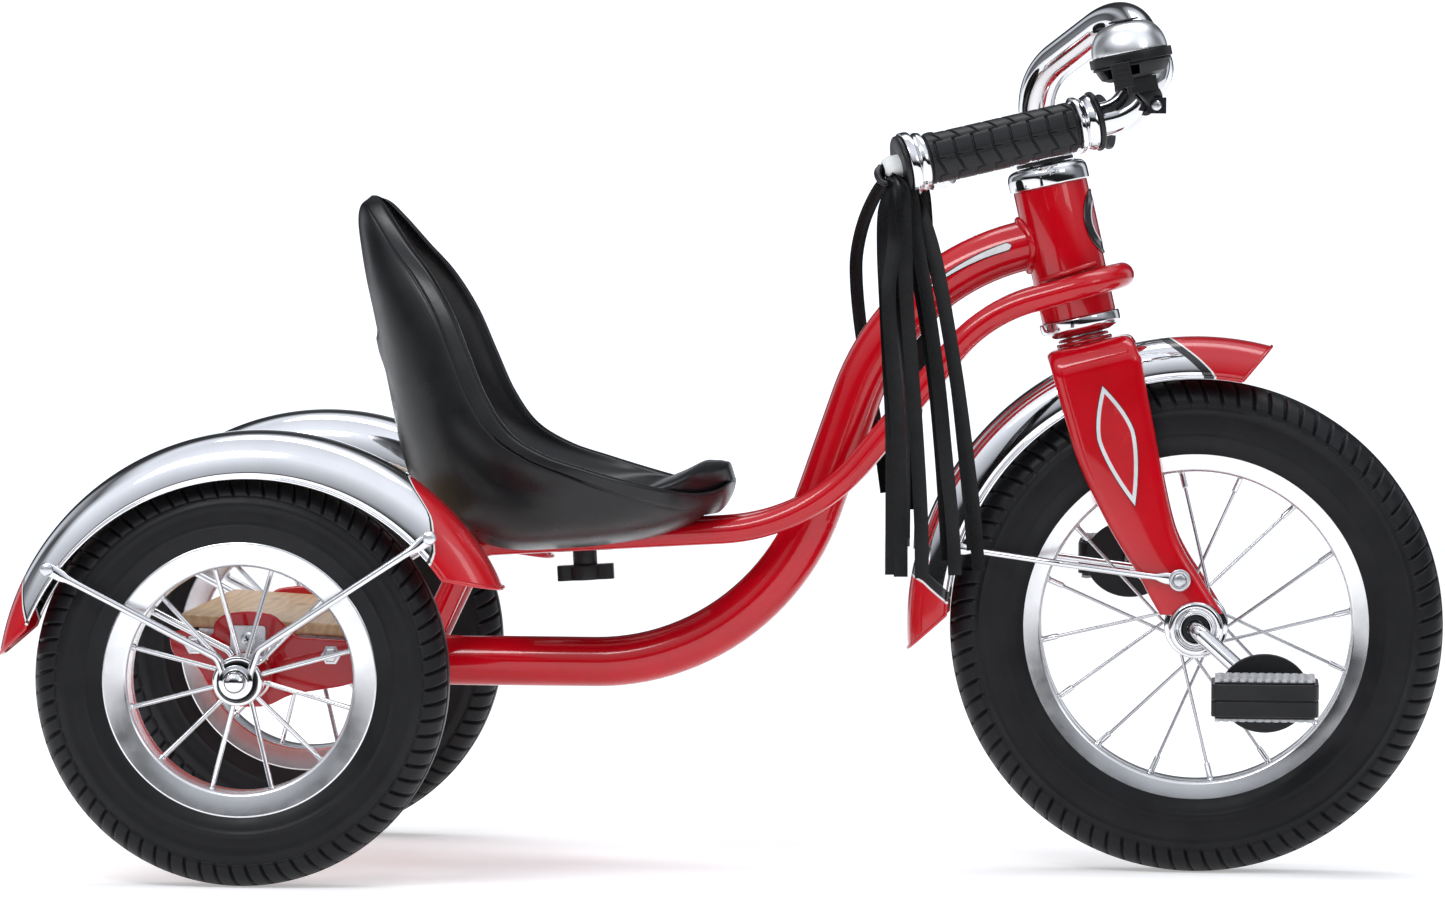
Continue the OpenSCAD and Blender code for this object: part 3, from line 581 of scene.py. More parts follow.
def make_frame():
    s = Shape()
    path = tube_path()
    s.add(sweep(path, TUBE_R, 72))
    piece("backbone_tube", s, RED, "frame", "main_tube")
    s = Shape()
    back = path[-1] - unit(path[-1] - path[-2]) * 40
    s.add(weld(head_contact(back, path[-1] - path[-2], 16.2), 2.3, 1))
    piece("head_weld", s, RED, "frame", "main_tube", ())

    y = 32.5
    half = [(90, y, 122.9), (128.4, y, 205.9), (341.2, y, 218.9), (453.9, y, 356.4), (540.3, y, 381.2)]
    pts = [(a, -b, c) for a, b, c in half] + half[::-1]
    rails = bends(pts, [0, 22, 125, 100, 32, 32, 100, 125, 22, 0], 3.0)
    s = Shape().add(sweep(rails, RAIL_R, 48))
    piece("seat_rail_loop", s, RED, "frame", "seat_rails")
    s = Shape()
    for sg in (-1, 1):
        pts = []
        for t in np.linspace(-0.9, 0.9, 14):
            pts.append(HEAD((24.6 * math.sin(t) * 0.9, sg * 24.6 * math.cos(t * 0.9), 29.5 + 9 * t * 0.2)))
        s.add(weld(pts, 1.9, 5 + sg))
    piece("rail_welds", s, RED, "frame", "seat_rails", ())

    s = Shape().add(lathe([(21, 0), (24, 0), (24, 86), (21, 86)], HEAD, 96, 0.8))
    piece("head_tube_shell", s, RED, "frame", "head_tube")
    top = [(13.4, 86), (26, 86), (26, 93.6), (25.3, 96.4), (23.2, 98.4), (20.2, 99.4), (13.4, 100)]
    s = Shape().add(lathe(top, HEAD, 96, 1.2))
    piece("upper_head_cup", s, CHROME, "frame", "upper_cup")
    low = [(13.4, 0), (26, 0), (26, -5.5), (25, -7.5), (22, -9.3), (18, -11), (13.4, -11.4)]
    s = Shape().add(lathe(low, HEAD, 96, 1.0))
    piece("lower_head_cup", s, CHROME, "frame", "lower_cup")

    # badge: an oval of rings wrapped on the head tube
    n_r, n_a = 16, 96
    pts, rim = np.zeros((n_a, n_r, 3)), np.zeros((n_a, n_r))
    for i in range(n_a):
        a = i * 2 * math.pi / n_a
        for k in range(n_r):
            t = k / (n_r - 1)
            hz, wy = 57.5 + 21.5 * t * math.cos(a), 19.5 * t * math.sin(a)
            d = 19.5 * (1 - t)
            lift = 0.55 + 0.75 * float(smooth(d, 0, 0.9)) - 0.45 * float(smooth(d, 1.5, 2.2))
            lift += 0.35 * float(smooth(d, 6.2, 6.8)) - 0.3 * float(smooth(d, 7.6, 8.2))
            ang, rr = wy / HEAD_R, HEAD_R + 0.05 + min(lift, 1.2)
            pts[i, k] = HEAD((rr * math.cos(ang), rr * math.sin(ang), hz))
            rim[i, k] = d
    s = Shape().add(grid(pts, wrap_u=True), attr=rim.ravel())
    piece("badge_oval", s, BADGE, "frame", "head_badge", attr="rim", angle=60)

    s = Shape().add(box((72, -42, 100), (104, 42, 136), WORLD, 5))
    piece("rear_gusset_block", s, RED, "frame", "rear_gusset", bevel=2)

    plate = [(-52, 152), (-46, 156), (-24, 152), (-24, 160), (-18, 166), (-2, 168.5), (14, 166), (20, 160),
             (28, 152), (68, 150), (72, 144), (72, 128), (60, 122), (24, 116), (10, 108), (-12, 108),
             (-26, 118), (-34, 134), (-50, 140)]
    s = Shape().both(slab(plate, 0, 4, axis_y(0, -152, 0), 7, 4))
    s.add(sweep([(0, -151, 129), (0, 151, 129)], 18, 64))
    for x0, x1 in ((24, 54), (-54, -28)):
        s.both(box((x0, -152, -17.4), (x1, -118, -13.4), DECK))
    piece("axle_carrier_body", s, RED, "frame", "axle_carrier", bevel=1.2)

    screw = axis_y(-2, -158.7, 150.5)
    s = Shape().both(box((-13, 139, 6.5), (9, 159, 8.7), axis_y(0, -150, 0), 2.5))
    s.both(lathe([(0, 0), (4.6, 0), (4.6, 0.8), (3.4, 2.2), (0, 2.7)], screw, 32, 0.4))
    piece("step_tabs", s, ZINC, "frame", "axle_tabs", bevel=0.5)
    s = Shape()
    for turn in (25, 115):
        c, q = math.cos(math.radians(turn)), math.sin(math.radians(turn))
        s.both(slab([(-2.4 * c - 0.4 * q, -2.4 * q + 0.4 * c), (2.4 * c - 0.4 * q, 2.4 * q + 0.4 * c),
                     (2.4 * c + 0.4 * q, 2.4 * q - 0.4 * c), (-2.4 * c + 0.4 * q, -2.4 * q - 0.4 * c)],
                    2.55, 2.8, screw))
    piece("tab_screw_recess", s, BLACK, "frame", "axle_tabs", ())
    s = Shape()
    for x, z in ((-36, 146.5), (50, 141)):
        s.both(lathe([(0, 0), (6.4, 0), (6.4, 1.0), (4.6, 1.2), (4.6, 4.4), (3.6, 5.2), (0, 5.4)],
                     axis_y(x, -156, z), 6, 0.4))
    piece("carrier_bolts", s, ZINC, "frame", "fender_bolts", (), bevel=0.3, angle=20)

    s = Shape().add(sweep([(0, -249, 129), (0, 249, 129)], 5, 40))
    piece("rear_axle_bar", s, STEEL, "frame", "rear_axle", bevel=0.5)
    s = Shape()
    for sg in (False, True):
        a = axis_y(0, -(TRACK + 38.6), REAR[1])
        s.add(lathe([(5.02, 0), (10.5, 0), (10.5, 1.6), (8, 1.9), (8, 4.5), (5.02, 4.5)], a, 48, 0.3), sg)
        b = axis_y(0, -(TRACK + 44.6), REAR[1])
        s.add(lathe([(0, 0.4), (6.6, 0.4), (6.6, 3), (5.6, 5), (3.4, 6.2), (0, 6.6)], b, 48, 0.5,
                    closed=False), sg)
    piece("axle_cap_nuts", s, CHROME, "frame", "axle_nuts")

    # rear step: a plank with a rounded edge, its rails and end caps
    o = [(-54, -150), (54, -150), (58, -146), (58, 146), (54, 150), (-54, 150), (-58, 146), (-58, -146)]
    s = Shape().add(slab(o, -8, 0, DECK, 3))
    piece("step_plank", s, WOOD, "frame", "step_deck", bevel=1.6)
    s = Shape()
    for y0 in (-146, -130):
        s.both(box((-46, y0, -13.2), (46, y0 + 2, -8.2), DECK))
    s.both(box((-46, -144.2, -10.2), (46, -129.8, -8.2), DECK))
    piece("step_channels", s, ZINC, "frame", "deck_rails", bevel=0.4)
    s = Shape()
    for x in (-52, 46.2):
        s.both(box((x, -146, -13.2), (x + 5.8, -128, -8.2), DECK))
    piece("channel_caps", s, BLACK, "frame", "deck_caps", bevel=0.9)


# ------------------------------------------------------------------ printed marks, all of them plain shapes
def tube_stripe():
    """A slim tapered stripe on each side of the backbone, near the head."""
    path = tube_path(1.5)
    run = arc_length(path)
    s = Shape()
    end = run[-1] - 33
    length, half = 62.0, 3.1
    nu, nv = 80, 15
    for sg in (False, True):
        pts, rim = np.zeros((nu, nv, 3)), np.zeros((nu, nv))
        for i in range(nu):
            t = i / (nu - 1)
            at = end - length + length * t
            p = np.array([np.interp(at, run, path[:, k]) for k in range(3)])
            q = np.array([np.interp(at + 0.5, run, path[:, k]) for k in range(3)])
            pl = Place(p, q - p, np.cross((0, 1, 0), q - p))
            w = half * (0.35 + 0.65 * t) * float(smooth(min(t, 1 - t), 0, 0.06) ** 0.5)
            for k in range(nv):
                v = -1 + 2 * k / (nv - 1)
                a = v * w / TUBE_R + math.radians(8)
                pts[i, k] = pl((-16.12 * math.sin(a), -16.12 * math.cos(a) if pl.v[1] > 0 else 16.12
                                * math.cos(a), 0))
                rim[i, k] = min(w * (1 - abs(v)), min(t, 1 - t) * length)
        s.add(grid(pts), sg, attr=rim.ravel())
    piece("backbone_stripe", s, STRIPE, "frame", "main_tube", (), attr="rim", angle=80)


# ------------------------------------------------------------------ mudguards
def guard_surface(centre, rc, depth, width, skirt, cut_a, cut_b, bound_a, bound_b):
    """Points of a mudguard: centre and rc of its crown, its superelliptic section, the circle (x, z, r)
    that trims its skirts, and the two lines that trim its ends. bound_a and bound_b are the paint edges
    there, as (share of the depth, angle in degrees) pairs. Returns the points, and how far each lies past
    the nearer paint edge."""
    cx, cz = centre
    nu, nv = 150, 37

    def radius(phi):
        return rc - depth + depth * np.abs(np.cos(phi)) ** (2 / 3)

    def hit(line, r):
        (ax, az), (bx, bz) = line
        dx, dz = bx - ax, bz - az
        fx, fz = ax - cx, az - cz
        a, b, c = dx * dx + dz * dz, 2 * (fx * dx + fz * dz), fx * fx + fz * fz - r * r
        disc = math.sqrt(max(b * b - 4 * a * c, 0))
        t = min(((-b - disc) / (2 * a), (-b + disc) / (2 * a)), key=lambda x: abs(x - 0.5))
        return math.atan2(az + t * dz - cz, ax + t * dx - cx) % (2 * math.pi)

    def edge_phi(theta):
        sx, sz, sr = skirt
        ex, ez = cx - sx, cz - sz
        b = 2 * (ex * math.cos(theta) + ez * math.sin(theta))
        r = (-b + math.sqrt(max(b * b - 4 * (ex * ex + ez * ez - sr * sr), 0))) / 2
        q = max(0.0, min(1.0, (r - rc + depth) / depth))
        return math.acos(q ** 1.5)

    pts, tip = np.zeros((nu, nv, 3)), np.zeros((nu, nv))
    for i in range(nu):
        u = i / (nu - 1)
        for k in range(nv):
            v = -1 + 2 * k / (nv - 1)
            phi = v * 1.2
            for _ in range(14):
                r = float(radius(phi))
                ta, tb = hit(cut_a, r), hit(cut_b, r)
                th = ta + (tb - ta) * u
                phi = 0.5 * phi + 0.5 * v * edge_phi(th)
            r = float(radius(phi))
            ta, tb = hit(cut_a, r), hit(cut_b, r)
            th = ta + (tb - ta) * u
            y = width * math.copysign(abs(math.sin(phi)) ** (2 / 3), phi)
            pts[i, k] = (cx + r * math.cos(th), y, cz + r * math.sin(th))
            low = (rc - r) / depth
            ea, eb = [math.radians(np.interp(low, *zip(*b))) for b in (bound_a, bound_b)]
            tip[i, k] = max((ea - th) * r, (th - eb) * r)
    return pts, tip


def mudguard(name, pts, tip, y, mat, body, node):
    s = Shape()
    off = np.array((0, y, 0.0))
    s.add(grid(pts + off), attr=tip.ravel())
    ob = piece(name, s, mat, body, node, angle=80, solid=1.2, attr="tip")
    # turn the thickness inward: the section's outside faces away from the wheel
    me = ob.data
    c = pts.reshape(-1, 3).mean(0)
    n = me.polygons[len(me.polygons) // 2].normal
    p = me.polygons[len(me.polygons) // 2].center
    centre = row_frame([c + off])[0]
    if n.dot(p - Vector(centre)) < 0:
        me.flip_normals()
    s = Shape()
    loop = np.concatenate([pts[:, 0], pts[-1, 1:-1], pts[::-1, -1], pts[0, -2:0:-1]]) + off
    t = np.concatenate([tip[:, 0], tip[-1, 1:-1], tip[::-1, -1], tip[0, -2:0:-1]])
    loop = np.vstack([loop, loop[:1]])
    t = np.append(t, t[0])
    s.add(sweep(loop, 1.05, 10, False), attr=np.repeat(t, 10))
    piece(name + "_edge", s, mat, body, node, (), angle=80, attr="tip")


# the rear mudguards: centre of the crown, its radius, the depth of the section and half its width
GUARD_X, GUARD_Z, GUARD_R, GUARD_DEPTH, GUARD_HALF = 11.9, 119.1, 164.5, 42, 32


def make_mudguards():
    pts, tip = guard_surface((GUARD_X, GUARD_Z), GUARD_R, GUARD_DEPTH, GUARD_HALF, (6, 106.6, 148.3),
                             ((161.7, 187), (126.8, 192.8)), ((-151.0, 142.4), (-132.4, 159.4)),
                             ((0, 56), (0.08, 53), (0.22, 46), (0.54, 39), (0.85, 36)),
                             ((0, 151), (0.04, 155), (0.21, 160), (0.36, 163.5), (0.8, 168)))
    for sg, side in ((-1, "right"), (1, "left")):
        mudguard("mudguard_rear_" + side, pts, tip, sg * TRACK, FENDER_R, "frame", "rear_fender_" + side)
    pts, tip = guard_surface(FRONT, 185, 30, 29.5, (FRONT[0], FRONT[1], 159.5),
                             ((FRONT[0] + 46, FRONT[1] + 178.5), (FRONT[0] + 28, FRONT[1] + 157)),
                             ((FRONT[0] - 184.3, FRONT[1] - 16.4), (FRONT[0] - 158.5, FRONT[1] + 7)),
                             ((0, 95.5), (0.19, 93), (0.5, 89.2), (0.8, 85.9)), ((0, 170.5), (0.3, 171.5),
            (0.85, 175.2)))
    mudguard("mudguard_front", pts, tip, 0, FENDER_F, "steering", "front_fender")


def skirt_y(r):
    """Half the width of a rear mudguard at radius r from its centre."""
    return GUARD_HALF * (1 - ((r - GUARD_R + GUARD_DEPTH) / GUARD_DEPTH) ** 3) ** (1 / 3)


def make_stays():
    bolts = ((-118.2, 197.2), (119.0, 219.0))
    out = [skirt_y(math.hypot(x - GUARD_X, z - GUARD_Z) - 8) + 0.2 for x, z in bolts]
    for side, yc in (("right", -TRACK), ("left", TRACK)):
        s = Shape()
        for sg in (-1, 1):
            ya, yb, ym = yc + sg * (out[0] + 2.6), yc + sg * (out[1] + 2.6), yc + sg * 35.8
            z = REAR[1]
            p = bends([(-116.5, ya, 196.6), (-11.6, ym, 143.6), (-7.8, ym, z + 4), (-7.8, ym, z - 7.8),
                       (7.8, ym, z - 7.8), (7.8, ym, z + 4), (13, ym, 148.6), (117.6, yb, 218)],
                      [0, 8, 12, 7.7, 7.7, 12, 8, 0], 6)
            q = refine(p, 4)
            run = arc_length(q)
            run = np.minimum(run, run[-1] - run)
            wide = 2.4 + 1.3 * (1 - smooth(run, 7, 14))
            thin = 1 - 0.66 * (1 - smooth(run, 7, 14))
            s.add(sweep(q, wide, 20, True, thin, start=(0, 1, 0)))
        piece("mudguard_stays_" + side, s, CHROME, "frame", "fender_stays_" + side)
    s = Shape()
    for (x, z), o in zip(bolts, out):
        for yc in (-TRACK, TRACK):
            for sg in (-1, 1):
                pl = Place((x, yc + sg * (o + 3.3), z), (0, sg, 0), (1, 0, 0))
                s.add(lathe([(0, 0), (4.3, 0), (4.3, 0.9), (3.6, 2.6), (1.6, 3.4), (0, 3.5)], pl, 36, 0.4,
                            closed=False))
    piece("mudguard_bolts", s, ZINC, "frame", "fender_bolts")


# ------------------------------------------------------------------ wheels
def tyre(name, centre, y, r_in, r_out, half, sipes, body, node, seed):
    """Section by angle: a rounded tube with a shoulder rib, slanted sipes and rings on the walls."""
    nv, around = 116, sipes * 16
    rm, rh = (r_in + r_out) / 2, (r_out - r_in) / 2
    a = np.linspace(-math.pi * 0.93, math.pi * 0.93, nv)
    c, sn = np.cos(a), np.sin(a)
    prof_r = rm + rh * np.sign(c) * np.abs(c) ** 0.78
    prof_y = half * np.sign(sn) * np.abs(sn) ** 0.8
    d = np.stack([np.gradient(prof_r), np.gradient(prof_y)], 1)
    run = arc_length(np.stack([prof_r, prof_y], 1))
    run -= run[-1] / 2  # distance across the tread from the crown
    nrm = np.stack([-d[:, 1], d[:, 0]], 1)
    nrm /= np.linalg.norm(nrm, axis=1)[:, None]
    nrm *= np.sign(nrm[nv // 2, 0])
    th = np.arange(around) * 2 * math.pi / around
    w = np.abs(run)[None, :]
    edge = half * 1.02
    pitch = 2 * math.pi / sipes
    side = np.sign(run)[None, :]
    slant = (w - edge * 0.3) / (edge * 0.85) * pitch * 0.55
    phase = np.mod(th[:, None] + slant + (side > 0) * pitch / 2, pitch) / pitch
    near = np.minimum(phase, 1 - phase) * pitch * r_out
    sipe = (1 - smooth(near, 0.45, 1.35)) * smooth(w, edge * 0.30, edge * 0.36)
    sipe = sipe * (1 - smooth(w, edge * 1.10, edge * 1.22))
    groove = (1 - smooth(np.abs(w - edge * 0.30), 0.5, 1.4)) * 0.9 + (1 - smooth(np.abs(w - edge * 1.20),
            0.5, 1.3)) * 0.7
    wall = smooth(w, edge * 1.18, edge * 1.3)
    rings = sum(0.75 * (1 - smooth(np.abs(w - edge * k), 0.2, 0.8)) for k in (1.34, 1.42, 1.50,
            1.98)) * wall
    tread = 0.5 * (1 - smooth(w, edge * 1.1, edge * 1.24)) - 0.5
    h = tread + rings - 2.1 * sipe - 1.2 * groove
    rr, yy = prof_r[None, :] + h * nrm[None, :, 0], prof_y[None, :] + h * nrm[None, :, 1]
    rr = np.minimum(rr, r_out)
    pts = np.stack([centre[0] + rr * np.cos(th)[:, None], y + yy, centre[1] + rr * np.sin(th)[:, None]], -1)
    s = Shape().add(grid(pts, wrap_u=True))
    rnd = random.Random(seed)
    for _ in range(26):  # moulding nibs
        t, k = rnd.uniform(0, 2 * math.pi), rnd.choice((nv // 2 - 30, nv // 2 + 29))
        i2 = int(t / (2 * math.pi) * around) % around
        s.add(ball(pts[i2, k], 0.55, 8))
    piece(name, s, RUBBER, body, node, angle=50)


CRANK, CRANK_TURN = 58, math.radians(41)  # length of a crank, and how far the right one points down
PEDAL_Y = 122  # the middle of a pedal


def make_front_wheel():
    fx, fz = FRONT
    tyre("tyre_front", FRONT, 0, 102, 157.5, 26, 88, "front_wheel", "front_tyre", 11)
    ax = axis_y(fx, 0, fz)
    half = [(112.4, 16.5), (112.6, 19.9), (111.6, 20.6), (100.6, 18.6), (99.0, 17.4), (98.8, 15.8),
            (99.4, 8)]
    prof = [(r, -y) for r, y in half[::-1]] + [(105.8, -15), (104.4, -8), (104.4, 8), (105.8, 15)] + half
    s = Shape().add(lathe(prof, ax, 240, 0.6))
    piece("rim_front", s, RIM, "front_wheel", "front_rim", angle=50)
    s = Shape()
    nip = Shape()
    for i in range(16):
        sg = 1 if i % 2 == 0 else -1
        t = 1 if (i // 2) % 2 == 0 else -1
        a, b = math.radians(i * 22.5 + 6), math.radians(i * 22.5 + 6 - t * 50)
        p = ax((15.5 * math.cos(b), 15.5 * math.sin(b), sg * 16.0 + t * 1.3))
        q = ax((100 * math.cos(a), 100 * math.sin(a), sg * 4 + t * 1.3))
        s.add(sweep([p, q], 1.05, 12))
        d = unit(p - q)
        nip.add(lathe([(0, -1), (2.6, -1), (2.6, 1.2), (1.9, 2.2), (1.9, 11.2), (1.2, 12.4), (0, 12.4)],
                      Place(q, d), 12, 0.2, closed=False))
        s.add(ball(ax((15.5 * math.cos(b), 15.5 * math.sin(b), sg * 18.9)), 1.9, 10))
    piece("spokes_front", s, STEEL, "front_wheel", "front_spokes")
    piece("spoke_nipples_front", nip, CHROME, "front_wheel", "front_spokes", ())
    hub = [(5.7, -30), (11, -30), (11.6, -22), (12.4, -19.2), (20, -18.6), (20.6, -17.4), (20, -16.2),
           (12.6, -15.6), (9.6, -10), (9.2, 0), (9.6, 10), (12.6, 15.6), (20, 16.2), (20.6, 17.4),
           (20, 18.6), (12.4, 19.2), (11.6, 22), (11, 30), (5.7, 30)]
    s = Shape().add(lathe(hub, ax, 72, 0.8))
    piece("hub_front", s, CHROME, "front_wheel", "front_hub")
    # crank: one bent bar through the hub
    dx, dz = CRANK * math.cos(CRANK_TURN), -CRANK * math.sin(CRANK_TURN)
    s = Shape()
    p = bends([(fx - dx, 158, fz - dz), (fx - dx, 70, fz - dz), (fx, 52, fz), (fx, -52, fz), (fx + dx, -70,
            fz + dz), (fx + dx, -158, fz + dz)], [0, 9, 9, 9, 9, 0], 6)
    s.add(sweep(p, 5.3, 40))
    piece("crank_bar", s, CHROME, "front_wheel", "crank_axle")
    for side, sg in (("right", -1), ("left", 1)):
        pedal(side, sg, fx - sg * dx, fz - sg * dz)


def pedal(side, sg, x, z):
    """Two moulded halves with a seam between them, an oval inner flange, and pads with square studs."""
    mirror = sg > 0
    flat = Place((x, -PEDAL_Y, z), (0, 0, 1), (1, 0, 0))
    side_on = axis_y(x, -PEDAL_Y, z)
    s = Shape()
    for z0, z1, inset in ((-10.2, -0.45, 0), (0.45, 10.2, 0), (-1.2, 1.2, 1.3)):
        w, a, b = 33.5 - inset, -39 + inset, 37 - inset
        s.add(box((-w, a, z0), (w, b, z1), flat, 8, 6), mirror)
    oval = [(28.5 * math.cos(a), 24.8 * math.sin(a)) for a in np.linspace(0, 2 * math.pi, 72,
            endpoint=False)]
    s.add(slab(oval, -43.3, -37.2, side_on), mirror)
    for up in (-1, 1):
        s.add(box((-31, -36, up * 10.0), (31, 34, up * 11.6), flat, 5, 5), mirror)
    piece("pedal_block_" + side, s, BLACK, side + "_pedal", "pedal_" + side, bevel=0.7)
    s = Shape()
    for up in (-1, 1):
        for i in range(12):
            for k in range(12):
                px, py = -28.6 + i * 5.2 + (0.9 if k % 2 else -0.9), -33.2 + k * 5.85
                lo, hi = sorted((up * 11.4, up * 13.3))
                s.add(box((px - 1.75, py - 1.9, lo), (px + 1.75, py + 1.9, hi), flat, 0.7, 1), mirror)
    piece("pedal_studs_" + side, s, GREY, side + "_pedal", "pedal_treads_" + side, angle=25)


def make_rear_wheels():
    z = REAR[1]
    for side, y in (("right", -TRACK), ("left", TRACK)):
        body = side + "_rear_wheel"
        tyre("tyre_rear_" + side, REAR, y, 76, 129, 24, 76, body, "rear_tyre_" + side, 21)
        ax = axis_y(0, y, z)
        half = [(85.4, 15.6), (85.8, 19.6), (84.8, 20.3), (72.0, 18.2), (70.4, 17.0), (70.2, 15.4),
                (70.8, 9)]
        prof = [(r, -y) for r, y in half[::-1]] + [(76, -14.2), (74, -9), (74, 9), (76, 14.2)] + half
        s = Shape().add(lathe(prof, ax, 200, 0.6))
        piece("rim_rear_" + side, s, RIM, body, "rear_rim_" + side, angle=50)
        s = Shape()
        hub = [(12.4, -30), (15, -30), (15.6, -29), (15.6, -21), (14.6, -18), (14.2, 0), (14.6, 18),
               (15.6, 21), (15.6, 29), (15, 30), (12.4, 30)]
        s.add(lathe(hub, ax, 64, 0.5))
        for i in range(12):
            sg = 1 if i % 2 == 0 else -1
            a = math.radians(15 + i * 30)
            p, q = [ax((r * math.cos(a), r * math.sin(a), sg * h)) for r, h in ((14.2, 14), (72, 3))]
            s.add(sweep([p, q], 1.55, 16))
            d = unit(p - q)
            s.add(lathe([(0, -1), (2.5, -1), (2.5, 1.6), (1.6, 2.6), (0, 2.6)], Place(q, d), 14, 0.2,
                        closed=False))
        piece("rear_hub_spokes_" + side, s, CHROME, body, "rear_rim_" + side, ())
        s = Shape()
        bush = [(5.05, -31), (8, -31), (8, -26.5), (11.2, -26.5), (11.2, -31), (12.35, -31), (12.35, 31),
                (11.2, 31), (11.2, 26.5), (8, 26.5), (8, 31), (5.05, 31)]
        s.add(lathe(bush, ax, 56, 0.3))
        piece("rear_bush_core_" + side, s, BLACK, body, "rear_bush_" + side)


# ------------------------------------------------------------------ fork
def carve(ob, shape):
    """Takes a shape's volume out of a piece."""
    me = bpy.data.meshes.new("cutter")
    me.from_pydata(row_frame(shape.v).tolist(), [], shape.f)
    bm = bmesh.new()
    bm.from_mesh(me)
    bmesh.ops.recalc_face_normals(bm, faces=bm.faces)
    bm.to_mesh(me)
    bm.free()
    cutter = bpy.data.objects.new("cutter", me)
    SCENE.collection.objects.link(cutter)
    m = ob.modifiers.new("carve", "BOOLEAN")
    m.operation, m.solver, m.object = "DIFFERENCE", "EXACT", cutter
    bpy.context.view_layer.update()
    new = bpy.data.meshes.new_from_object(ob.evaluated_get(bpy.context.evaluated_depsgraph_get()))
    ob.modifiers.clear()
    ob.data = new
    bpy.data.objects.remove(cutter)
    return ob


def edge_distance(p, poly):
    """Distance from 2-D points p to the outline of a polygon."""
    a = np.array(poly, float)
    b = np.roll(a, -1, axis=0)
    d = b - a
    rel = p[:, None, :] - a[None]
    t = np.clip((rel * d).sum(-1) / ((d * d).sum(-1) + 1e-9), 0, 1)
    return np.sqrt(((rel - t[..., None] * d) ** 2).sum(-1)).min(1)


def strap_section(hw, ht):
    """A pressed strap's section: its outer face rolls over at both edges."""
    out = []
    n = 9
    for cx, cy, rx, ry, a0 in ((hw - 7.5, ht - 5.2 * ht / 5.75, 7.5, 5.2 * ht / 5.75, 0),
                               (-hw + 7.5, ht - 5.2 * ht / 5.75, 7.5, 5.2 * ht / 5.75, 90),
                               (-hw + 1.5, -ht + 1.5, 1.5, 1.5, 180), (hw - 1.5, -ht + 1.5, 1.5, 1.5, 270)):
        for k in range(n):
            a = math.radians(a0 + 90 * k / (n - 1))
            out.append((cx + rx * math.cos(a), cy + ry * math.sin(a)))
    return np.array(out)


